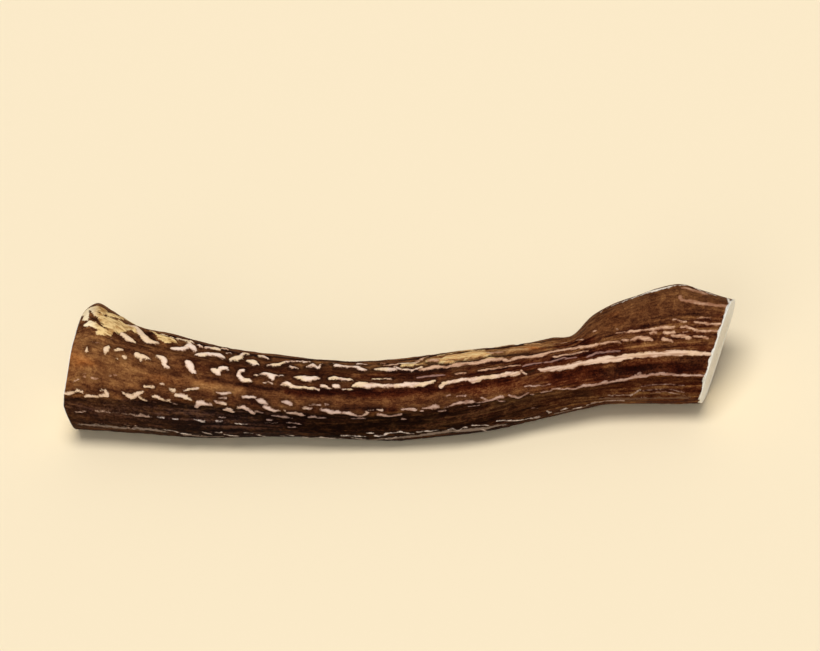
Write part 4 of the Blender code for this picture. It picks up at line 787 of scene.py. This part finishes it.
def sawn_end(rim_across, rim_depth, cut):
    """Rings across a sawn end, on the saw's plane: its rim, drawn in towards the rim's middle by even steps.

    Each point has its place along and across, its depth, and its distance from the rim.
    """
    share = 1 - np.arange(1, END_RINGS + 1)[:, None] / (END_RINGS + 1)
    middle_across, middle_depth = rim_across.mean(), rim_depth.mean()
    across = middle_across + (rim_across - middle_across) * share
    depth = middle_depth + (rim_depth - middle_depth) * share
    inset = np.hypot(rim_across - middle_across, rim_depth - middle_depth) * (1 - share)
    return cut(across, depth), across, depth, inset


def closed_rings(rings, columns):
    """Faces of a stack of rings, each closed on itself, with a fan to a last point at either end."""
    index = np.arange(rings * columns).reshape(rings, columns)
    here, ahead = index[:-1], index[1:]
    quads = np.stack([here, np.roll(here, -1, 1), np.roll(ahead, -1, 1), ahead], axis=-1).reshape(-1, 4)
    first, last = index[0], index[-1]
    first_pole = np.stack([np.full(columns, rings * columns), np.roll(first, -1), first], axis=-1)
    last_pole = np.stack([np.full(columns, rings * columns + 1), last, np.roll(last, -1)], axis=-1)
    return quads.tolist() + first_pole.tolist() + last_pole.tolist()


def over_the_ends(field):
    """Carries a bark field over both sawn ends, unchanged from the rim inwards."""
    first = np.repeat(field[:1], END_RINGS, axis=0)
    last = np.repeat(field[-1:], END_RINGS, axis=0)
    rings = np.concatenate([first, field, last]).reshape(-1, *field.shape[2:])
    return np.concatenate([rings, field[0, :1], field[-1, :1]])


def antler_surface():
    """Every point of the antler in metres, in the beam's own frame, and the fields that its colours read."""
    beam = Beam()
    along, angle = bark_grid(beam)
    around = beam.around_at(along, angle)
    girth = np.interp(along, beam.line, beam.girth)
    turn = 2 * math.pi * around / girth
    straight = np.stack([along, STRAIGHT_RADIUS * np.cos(turn), STRAIGHT_RADIUS * np.sin(turn)], axis=-1)
    spots = (along, around, girth)
    fields = bark_fields(beam, spots, angle, straight)
    height = bark_height(beam, spots, angle, straight, fields)
    along, across, depth = beam.place(along, angle, height)
    along[0], along[-1] = left_end(across[0], depth[0]), right_end(across[-1], depth[-1])
    # The inset is the distance from the rim: positive on a cut and negative on the bark.
    inset = -np.minimum(np.minimum(along - along[0], along[-1] - along), RIM_REACH)

    left = sawn_end(across[0], depth[0], left_end)
    right = sawn_end(across[-1], depth[-1], right_end)
    stacked = []
    for side, left_face, right_face in zip((along, across, depth, inset), left, right):
        rings = np.concatenate([left_face[::-1], side, right_face])
        poles = [left_face[-1].mean(), right_face[-1].mean()]
        stacked.append(np.concatenate([rings.ravel(), poles]))
    along, across, depth, inset = stacked
    y = across * math.sin(LEAN) - depth * math.cos(LEAN)
    z = across * math.cos(LEAN) + depth * math.sin(LEAN)
    fields = {name: over_the_ends(field) for name, field in fields.items()} | {"inset": inset}
    return np.stack([along, y, z], axis=1) * MM, over_the_ends(straight), fields


def add_object(name, data):
    """Puts a new object with this mesh, lamp or camera into the scene."""
    added = bpy.data.objects.new(name, data)
    bpy.context.scene.collection.objects.link(added)
    return added


points, straight_places, fields = antler_surface()
# The beam's own frame is moved so that its box stands on the row's origin, as the solid's does.
low, high = points.min(axis=0), points.max(axis=0)
cad_low, cad_high = np.array(cad_box[0]), np.array(cad_box[1])
offset = (cad_low + cad_high - low - high) / 2
offset[2] = cad_low[2] - low[2]

mesh = bpy.data.meshes.new("antler_bark")
mesh.from_pydata((points + offset).tolist(), [], closed_rings(RINGS + 2 * END_RINGS, COLUMNS))
for name, field in fields.items():
    mesh.attributes.new(name, "FLOAT", "POINT").data.foreach_set("value", field.astype(np.float32))
laid_straight = mesh.attributes.new("straight", "FLOAT_VECTOR", "POINT")
laid_straight.data.foreach_set("vector", straight_places.astype(np.float32).ravel())
mesh.shade_smooth()
mesh.set_sharp_from_angle(angle=math.radians(SHARP_DEGREES))
antler = add_object("antler_bark", mesh)


class Value:
    """A node's output that Python's operators act on: each adds the Math node that does the same."""

    def __init__(self, shading, socket):
        self.shading, self.socket = shading, socket

    def math(self, operation, first, second, clamp=False):
        settings = {"operation": operation, "use_clamp": clamp}
        return self.shading.node("ShaderNodeMath", settings, {0: first, 1: second})

    def __add__(self, other):
        return self.math("ADD", self, other)

    def __sub__(self, other):
        return self.math("SUBTRACT", self, other)

    def __rsub__(self, other):
        return self.math("SUBTRACT", other, self)

    def __mul__(self, other):
        return self.math("MULTIPLY", self, other)

    __radd__, __rmul__ = __add__, __mul__

    def clamped(self):
        return self.math("MULTIPLY", self, 1.0, clamp=True)


class Shading:
    """A material's node tree: one method adds any node, and the others are short names for common ones."""

    def __init__(self, name):
        self.material = bpy.data.materials.new(name)
        self.material.use_nodes = True
        self.tree = self.material.node_tree
        self.shader = self.tree.nodes["Principled BSDF"]

    def node(self, kind, settings, sockets, output=0):
        """Adds a node: first its settings, with a ramp's stops among them, then values or links by socket."""
        node = self.tree.nodes.new(kind)
        stops = settings.pop("stops", None)
        for name, value in settings.items():
            setattr(node, name, value)
        if stops:
            while len(node.color_ramp.elements) < len(stops):
                node.color_ramp.elements.new(0.5)
            for element, (place, colour) in zip(node.color_ramp.elements, stops):
                element.position, element.color = place, colour
        self.feed(node, sockets)
        return Value(self, node.outputs[output])

    def feed(self, node, sockets):
        """Sets a node's sockets to values, or links them to other nodes' outputs."""
        for slot, value in sockets.items():
            if isinstance(value, Value):
                self.tree.links.new(value.socket, node.inputs[slot])
            else:
                node.inputs[slot].default_value = value

    def field(self, name, output="Fac"):
        return self.node("ShaderNodeAttribute", {"attribute_name": name}, {}, output)

    def noise(self, vector, scale, detail, roughness=0.55, distortion=0.0):
        sockets = {"Vector": vector, "Scale": scale, "Detail": detail, "Roughness": roughness}
        return self.node("ShaderNodeTexNoise", {}, sockets | {"Distortion": distortion}, "Fac")

    def step(self, value, low, high, to_low=0.0, to_high=1.0):
        """Runs smoothly from to_low to to_high as value goes from low to high."""
        sockets = {"Value": value, "From Min": low, "From Max": high, "To Min": to_low, "To Max": to_high}
        return self.node("ShaderNodeMapRange", {"interpolation_type": "SMOOTHSTEP"}, sockets)

    def blend(self, share, first, second, mode="MIX"):
        """Mixes two colours."""
        settings = {"data_type": "RGBA", "blend_type": mode}
        return self.node("ShaderNodeMix", settings, {0: share, 6: first, 7: second}, 2)


def paint(red, green, blue):
    """A colour in the 0 to 255 of a picture, as the linear numbers and the full cover that shaders take."""
    shares = [value / 255 for value in (red, green, blue)]
    return (*(s / 12.92 if s <= 0.04045 else ((s + 0.055) / 1.055) ** 2.4 for s in shares), 1)


# The colours. Of a pair, the first is the darker one, unless a comment says otherwise.
BROWNS = [
    (0.14, paint(12, 4, 2)), (0.30, paint(39, 14, 6)), (0.44, paint(75, 40, 20)), (0.57, paint(111, 69, 38)),
    (0.72, paint(151, 105, 61)), (0.92, paint(196, 148, 96)),
]
WARMING, REDDENING = paint(255, 190, 110), paint(240, 150, 118)
# The second of these is painted shade, for the ring round each pearl.
FURROW_DIRT, HALO_PAINTED_SHADE, SLOT_DIRT = paint(18, 8, 5), paint(17, 5, 3), paint(52, 28, 14)
# Stains of the lower flank, deepened with painted shade, and their lighter specks, at the left and at the
# right end.
STAIN_AND_SHADE_COLOURS, STAIN_AND_SHADE_SPECK_COLOURS = (paint(14, 7, 7), paint(9, 2, 1)), (paint(62, 42, 37), paint(42, 17, 10))
CREAMS, TANS = (paint(192, 152, 122), paint(232, 207, 188)), (paint(152, 106, 78), paint(214, 174, 143))
YELLOWED_CREAM, FORK_CREAM, KNOB_CREAM = paint(232, 204, 158), paint(206, 176, 142), paint(224, 192, 150)
LOWER_BONES = (paint(134, 102, 86), paint(190, 160, 146))
# The second colour here is the bone of pearls on the lower flank, greyed by stain and painted shade.
STREAK_CRACKS, STAINED_AND_SHADED_BONE = paint(140, 88, 58), paint(160, 130, 122)
WORN_BONES = (paint(170, 128, 76), paint(228, 195, 136))
CORNER_BONE, FORK_BONE = paint(250, 232, 196), paint(232, 222, 206)
AMBERS, FORK_AMBER = (paint(196, 144, 88), paint(222, 190, 134)), paint(160, 112, 74)
# The glint colours are painted highlights, the floor's light reflected on the belly edge.
GREY, FORK_PAINTED_GLINT = paint(168, 126, 112), paint(140, 106, 84)
PAINTED_GLINTS = (paint(160, 142, 132), paint(238, 220, 208))
# Dull patches of painted light reflected from the floor, at the left and at the right end.
DULL_REFLECTIONS = (paint(142, 124, 112), paint(104, 76, 58))
IVORIES, PORES = (paint(234, 229, 216), paint(250, 248, 242)), (paint(196, 182, 160), paint(244, 237, 224))
# The chipped edge is a darker ivory than the near-white sawn face: painted shade, as the lamps light the
# chips more.
CORE_IVORY, CHIP_IVORY_PAINTED_SHADE = paint(238, 231, 217), paint(216, 210, 198)
SHEEN, BUMP_STRENGTH, BUMP_METRES = 0.015, 0.7, 0.0006

bark = Shading("antler_bark")
straight = bark.field("straight", "Vector")
here = bark.node("ShaderNodeTexCoord", {}, {}, "Object")


def grown_noise(stretch, scale, detail, roughness=0.55, distortion=0.0):
    """Noise on the straight beam that is drawn out lengthwise, the more so the smaller stretch is."""
    drawn = bark.node("ShaderNodeVectorMath", {"operation": "MULTIPLY"}, {0: straight, 1: (stretch, 1, 1)})
    return bark.noise(drawn, scale, detail, roughness, distortion)


def giving_way(start, end, share, first, second):
    """The first colour, which gives way to a share of the second between two places along the beam."""
    return bark.blend(bark.step(place, start, end) * share, first, second)


pearl, bare, tanned, worn, gold, grey = map(bark.field, ("pearl", "bare", "tanned", "worn", "gold", "grey"))
slot, glint, dull, flank, hump, band = map(bark.field, ("slot", "glint", "dull", "flank", "hump", "band"))
furrow, shade, warmth, inset = map(bark.field, ("furrow", "shade", "warmth", "inset"))

# Brown bark: fine mottling and a few long fibres, which grow straighter and darker towards the right end,
# in slow patches of darker, warmer and more purple brown. place is in millimetres along the beam.
place = bark.node("ShaderNodeSeparateXYZ", {}, {"Vector": straight})
streaky = bark.step(place, -60.0, 60.0)
fibres = grown_noise(0.07, 0.6, 6, 0.62, 0.4)
threads = grown_noise(0.12, 1.9, 3, 0.6)
lines = grown_noise(0.025, 1.15, 2, 0.5)
patches = grown_noise(0.5, 0.12, 3, 0.55, 0.5)
mottle = grown_noise(0.55, 0.5, 4, 0.65, 0.5)
specks = grown_noise(0.6, 1.4, 4, 0.7, 0.8)
grain = bark.noise(straight, 2.6, 4, 0.6)
rough_bark = 1 - 0.75 * hump - 0.6 * band
tone = 0.5 + shade + (fibres - 0.5) * (0.35 + 0.3 * streaky) * rough_bark
tone = tone + (threads - 0.5) * 0.35 * rough_bark
tone = tone + (patches - 0.5) * 0.4 + (mottle - 0.5) * 0.4 + (specks - 0.5) * 0.5 + (grain - 0.5) * 0.25
tone = tone + (lines - 0.5) * streaky * rough_bark * 0.55
brown = bark.node("ShaderNodeValToRGB", {"stops": BROWNS}, {"Fac": tone})
redness = grown_noise(0.4, 0.2, 3)
tint = warmth + (redness - 0.5) * 2.2 - 0.7 * streaky * (1 - hump)
brown = bark.blend(bark.step(tint, 0.1, 1.3) * 0.6, brown, WARMING, "MULTIPLY")
reddened = bark.step(tint, -0.1, -1.2) * bark.step(tone, 0.66, 0.34) * 0.7
brown = bark.blend(reddened, brown, REDDENING, "MULTIPLY")
brown = bark.blend(furrow * 0.75, brown, FURROW_DIRT)

# The lower flank is painted nearly black, most of all in the left half of the beam.
# This is partly a real stain and partly painted shade, where the flank turns under, away from the light.
stain_and_shade_mask = bark.step(flank, 0.0, 2.0) * bark.step(flank, 44.0, 27.0) * bark.step(place, 0.0, 120.0, 0.95, 0.3)
stain_and_shade_mask = stain_and_shade_mask * bark.step(place, -115.0, -70.0, 0.75, 1.0)
stain_and_shade_mask = stain_and_shade_mask * bark.step(mottle + (fibres - 0.5) * 0.6, 0.75, 0.4, 0.8, 1.0)
reddish = bark.step(place, -65.0, -25.0)
stain_and_shade_colour, stain_and_shade_specks = bark.blend(reddish, *STAIN_AND_SHADE_COLOURS), bark.blend(reddish, *STAIN_AND_SHADE_SPECK_COLOURS)
stain_and_shade_colour = bark.blend(bark.step(specks + (fibres - 0.5) * 1.2, 0.5, 0.75), stain_and_shade_colour, stain_and_shade_specks)
brown = bark.blend(stain_and_shade_mask, brown, stain_and_shade_colour)

# Pearls and streaks are worn to the pale bone, ragged at their edges, and rings of painted shade lie round
# them.
edge = (specks - 0.5) * 1.5 + (mottle - 0.5) * 0.8 + (threads - 0.5) * 0.3
ragged = pearl + edge * bark.step(place, -20.0, 60.0, 1.0, 0.6)
ragged = ragged + bark.step(flank, -21.0, -30.0) * bark.step(place, -84.0, -76.0, 0.15, 0.75)
open_bone = bark.step(ragged, -0.16, 0.26)
crowded = bark.step(place, -95.0, -50.0, 0.3, 0.75) * bark.step(place, 10.0, 60.0, 1.0, 0.3)
# A ring of painted shade round each pearl, strongest where the pearls crowd.
halo_painted_shade = bark.step(ragged, -2.0, -0.2) * (1 - open_bone) * crowded
brown = bark.blend(halo_painted_shade * rough_bark, brown, HALO_PAINTED_SHADE)
rim_tone = bark.step(pearl + (threads - 0.5) * 1.0 + (mottle - 0.5) * 2.4, -0.3, 0.8)
cream = bark.blend(rim_tone, *CREAMS)
yellowed = bark.step(bark.noise(straight, 0.16, 2), 0.48, 0.62)
cream = bark.blend(yellowed * 0.6, cream, YELLOWED_CREAM)
cream = giving_way(20.0, 90.0, 0.35, cream, FORK_CREAM)
cream = giving_way(-85.0, -93.0, 0.6, cream, KNOB_CREAM)
tan = bark.blend(rim_tone, *TANS)
pale = bark.blend((tanned + 0.45 * streaky * streaky).clamped(), cream, tan)
lower = bark.step(flank, -9.0, -2.0) * bark.step(place, -100.0, -30.0, 0.25, 0.8)
pale = bark.blend(lower, pale, bark.blend(rim_tone, *LOWER_BONES))
cracks = bark.step(lines + (threads - 0.5) * 0.8, 0.5, 0.3)
pale = bark.blend(cracks * streaky * 0.5, pale, STREAK_CRACKS)
# Pearls on the lower flank are greyed by the same stain and painted shade.
pale = bark.blend(0.55 * stain_and_shade_mask, pale, STAINED_AND_SHADED_BONE)
colour = bark.blend(open_bone * bare, brown, pale)

# Larger patches are worn to yellow bone or golden brown, grey streaks are worn less, and slots hold dirt.
bone = bark.blend(bark.step(mottle + (threads - 0.5) * 0.9, 0.34, 0.62), *WORN_BONES)
bone = giving_way(-112.0, -117.0, 0.8, bone, CORNER_BONE)
bone = giving_way(60.0, 70.0, 0.9, bone, FORK_BONE)
in_patch = bark.step(worn + edge + (threads - 0.5) * 0.8, -0.1, 0.25)
colour = bark.blend(in_patch * (1 - open_bone), colour, bone)
amber = bark.blend(bark.step(threads + (lines - 0.5) * 0.5, 0.35, 0.62), *AMBERS)
amber = giving_way(33.0, 38.0, 0.7, amber, FORK_AMBER)
in_gold = bark.step(gold + edge + (threads - 0.5) * 1.2, -0.3, 0.4)
colour = bark.blend(in_gold * (1 - open_bone), colour, amber)
colour = bark.blend(0.75 * bark.step(grey + (threads - 0.5) * 1.2, -0.2, 0.3), colour, GREY)
# Dull patches and glints along the belly edge are painted reflected light and painted highlights.
dull_reflection = bark.blend(bark.step(place, 60.0, 76.0), *DULL_REFLECTIONS)
colour = bark.blend(0.8 * bark.step(dull + edge * 1.5, -0.5, 0.3), colour, dull_reflection)
painted_glinting = bark.blend(bark.step(mottle, 0.4, 0.65), *PAINTED_GLINTS)
painted_glinting = giving_way(62.0, 76.0, 0.7, painted_glinting, FORK_PAINTED_GLINT)
colour = bark.blend(0.9 * bark.step(glint + edge * 0.6, -0.2, 0.2), colour, painted_glinting)
colour = bark.blend(bark.step(slot + edge * 0.6, -0.3, 0.3), colour, SLOT_DIRT)

# A sawn end shows an ivory rim and a spongy middle with pores, and at the right end its edge is chipped.
pores = bark.node("ShaderNodeTexVoronoi", {}, {"Vector": here, "Scale": 1300.0}, "Distance")
cloudy = bark.noise(here, 160.0, 3)
porous = bark.noise(here, 900.0, 3, 0.7)
core = bark.blend(bark.step(pores + (porous - 0.5) * 0.9, 0.1, 0.5), *PORES)
core = bark.blend(bark.step(cloudy, 0.35, 0.65), CORE_IVORY, core)
sawn = bark.blend(bark.step(inset + (cloudy - 0.5) * 5.0, 4.4, 7.0), bark.blend(cloudy, *IVORIES), core)
scallops = grown_noise(0.02, 0.32, 4)
chipped = bark.step(place, 60.0, 90.0) * bark.step(scallops, 0.3, 0.72) * 0.9
is_sawn = bark.step(inset + chipped, -0.36, -0.06)
# The chips on the bark side get the darker ivory of painted shade.
sawn = bark.blend(bark.step(inset, 0.0, -0.3), sawn, CHIP_IVORY_PAINTED_SHADE)
colour = bark.blend(is_sawn, colour, sawn)

bumps = fibres * 0.5 * rough_bark + threads * 0.4 + specks * 0.5 + grain * 0.35 - furrow * 0.5
bumps = bumps - 0.8 * is_sawn * bark.step(pores, 0.4, 0.1)
bump = {"Strength": BUMP_STRENGTH, "Distance": BUMP_METRES, "Height": bumps}
bark.feed(bark.shader, {
    "Base Color": colour,
    "Roughness": 0.42 + 0.2 * grain + 0.1 * threads + 0.12 * is_sawn,
    "Specular IOR Level": SHEEN,
    "Normal": bark.node("ShaderNodeBump", {}, bump),
})
mesh.materials.append(bark.material)

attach(antler, "root")
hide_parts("antler")

# ---------------------------------------------------------------------------------------------------------
# The studio: a plain pale floor, a broad overhead light a little in front of the antler and to its left, a
# weaker one from the front, a faint one from beyond the right end, and a camera that looks down on the
# antler at the photograph's angle.
# ---------------------------------------------------------------------------------------------------------
FLOOR_HALF = 3.0
FLOOR_COLOUR = (0.873, 0.742, 0.523, 1)
# Each light: the way towards it, its strength, and the degrees that it spreads over.
LIGHTS = {
    "overhead_light": ((-0.10, -0.25, 0.96), 2.2, 28),
    "front_light": ((-0.26, -0.78, 0.57), 0.72, 34),
    "end_light": ((0.94, -0.30, 0.12), 0.5, 40),
}
ROOM_COLOUR, ROOM_STRENGTH = (1, 1, 1, 1), 0.285

floor_mesh = bpy.data.meshes.new("floor")
corners = [(x * FLOOR_HALF, y * FLOOR_HALF, 0) for x, y in ((-1, -1), (1, -1), (1, 1), (-1, 1))]
floor_mesh.from_pydata(corners, [], [(0, 1, 2, 3)])
floor = add_object("floor", floor_mesh)
paper = Shading("pale_floor")
paper.feed(paper.shader, {"Base Color": FLOOR_COLOUR, "Roughness": 0.9, "Specular IOR Level": 0.0})
floor_mesh.materials.append(paper.material)


def add_turned(name, data, back):
    """Adds a lamp or camera that looks away from the direction back."""
    added = add_object(name, data)
    added.rotation_mode = "QUATERNION"
    added.rotation_quaternion = Vector(back).to_track_quat("Z", "Y")
    return added


for name, (towards_light, strength, spread_degrees) in LIGHTS.items():
    lamp = bpy.data.lights.new(name, "SUN")
    lamp.energy, lamp.angle = strength, math.radians(spread_degrees)
    add_turned(name, lamp, towards_light)
world = bpy.data.worlds.new("studio")
world.use_nodes = True
room = world.node_tree.nodes["Background"].inputs
room["Color"].default_value, room["Strength"].default_value = ROOM_COLOUR, ROOM_STRENGTH
bpy.context.scene.world = world
bpy.context.scene.view_settings.view_transform = "Standard"

# The camera is far off, with a long lens. Its frame is the photograph's, whose middle falls on this place
# along and across the beam, and the scale holds for what lies at this depth in millimetres.
PICTURE_WIDTH, PICTURE_HEIGHT = 820, 651
LENS_MM, SENSOR_MM = 500.0, 36.0
PICTURED_DEPTH = 25.0
CLIP_NEAR, CLIP_FAR = 0.05, 20
along = (PICTURE_WIDTH / 2 - PIXEL_AT_ORIGIN[0]) * MM_PER_PIXEL
across = (PIXEL_AT_ORIGIN[1] - PICTURE_HEIGHT / 2) * MM_PER_PIXEL
distance = PICTURE_WIDTH * MM_PER_PIXEL * LENS_MM / SENSOR_MM
back = Vector((0, -math.cos(LEAN), math.sin(LEAN)))
crest = Vector((0, math.sin(LEAN), math.cos(LEAN)))
target = Vector((along, 0, 0)) + crest * across + back * PICTURED_DEPTH
lens = bpy.data.cameras.new("camera")
lens.lens, lens.sensor_width = LENS_MM, SENSOR_MM
lens.clip_start, lens.clip_end = CLIP_NEAR, CLIP_FAR
camera = add_turned("camera", lens, back)
camera.location = (target + back * distance) * MM + Vector(offset)
bpy.context.scene.camera = camera
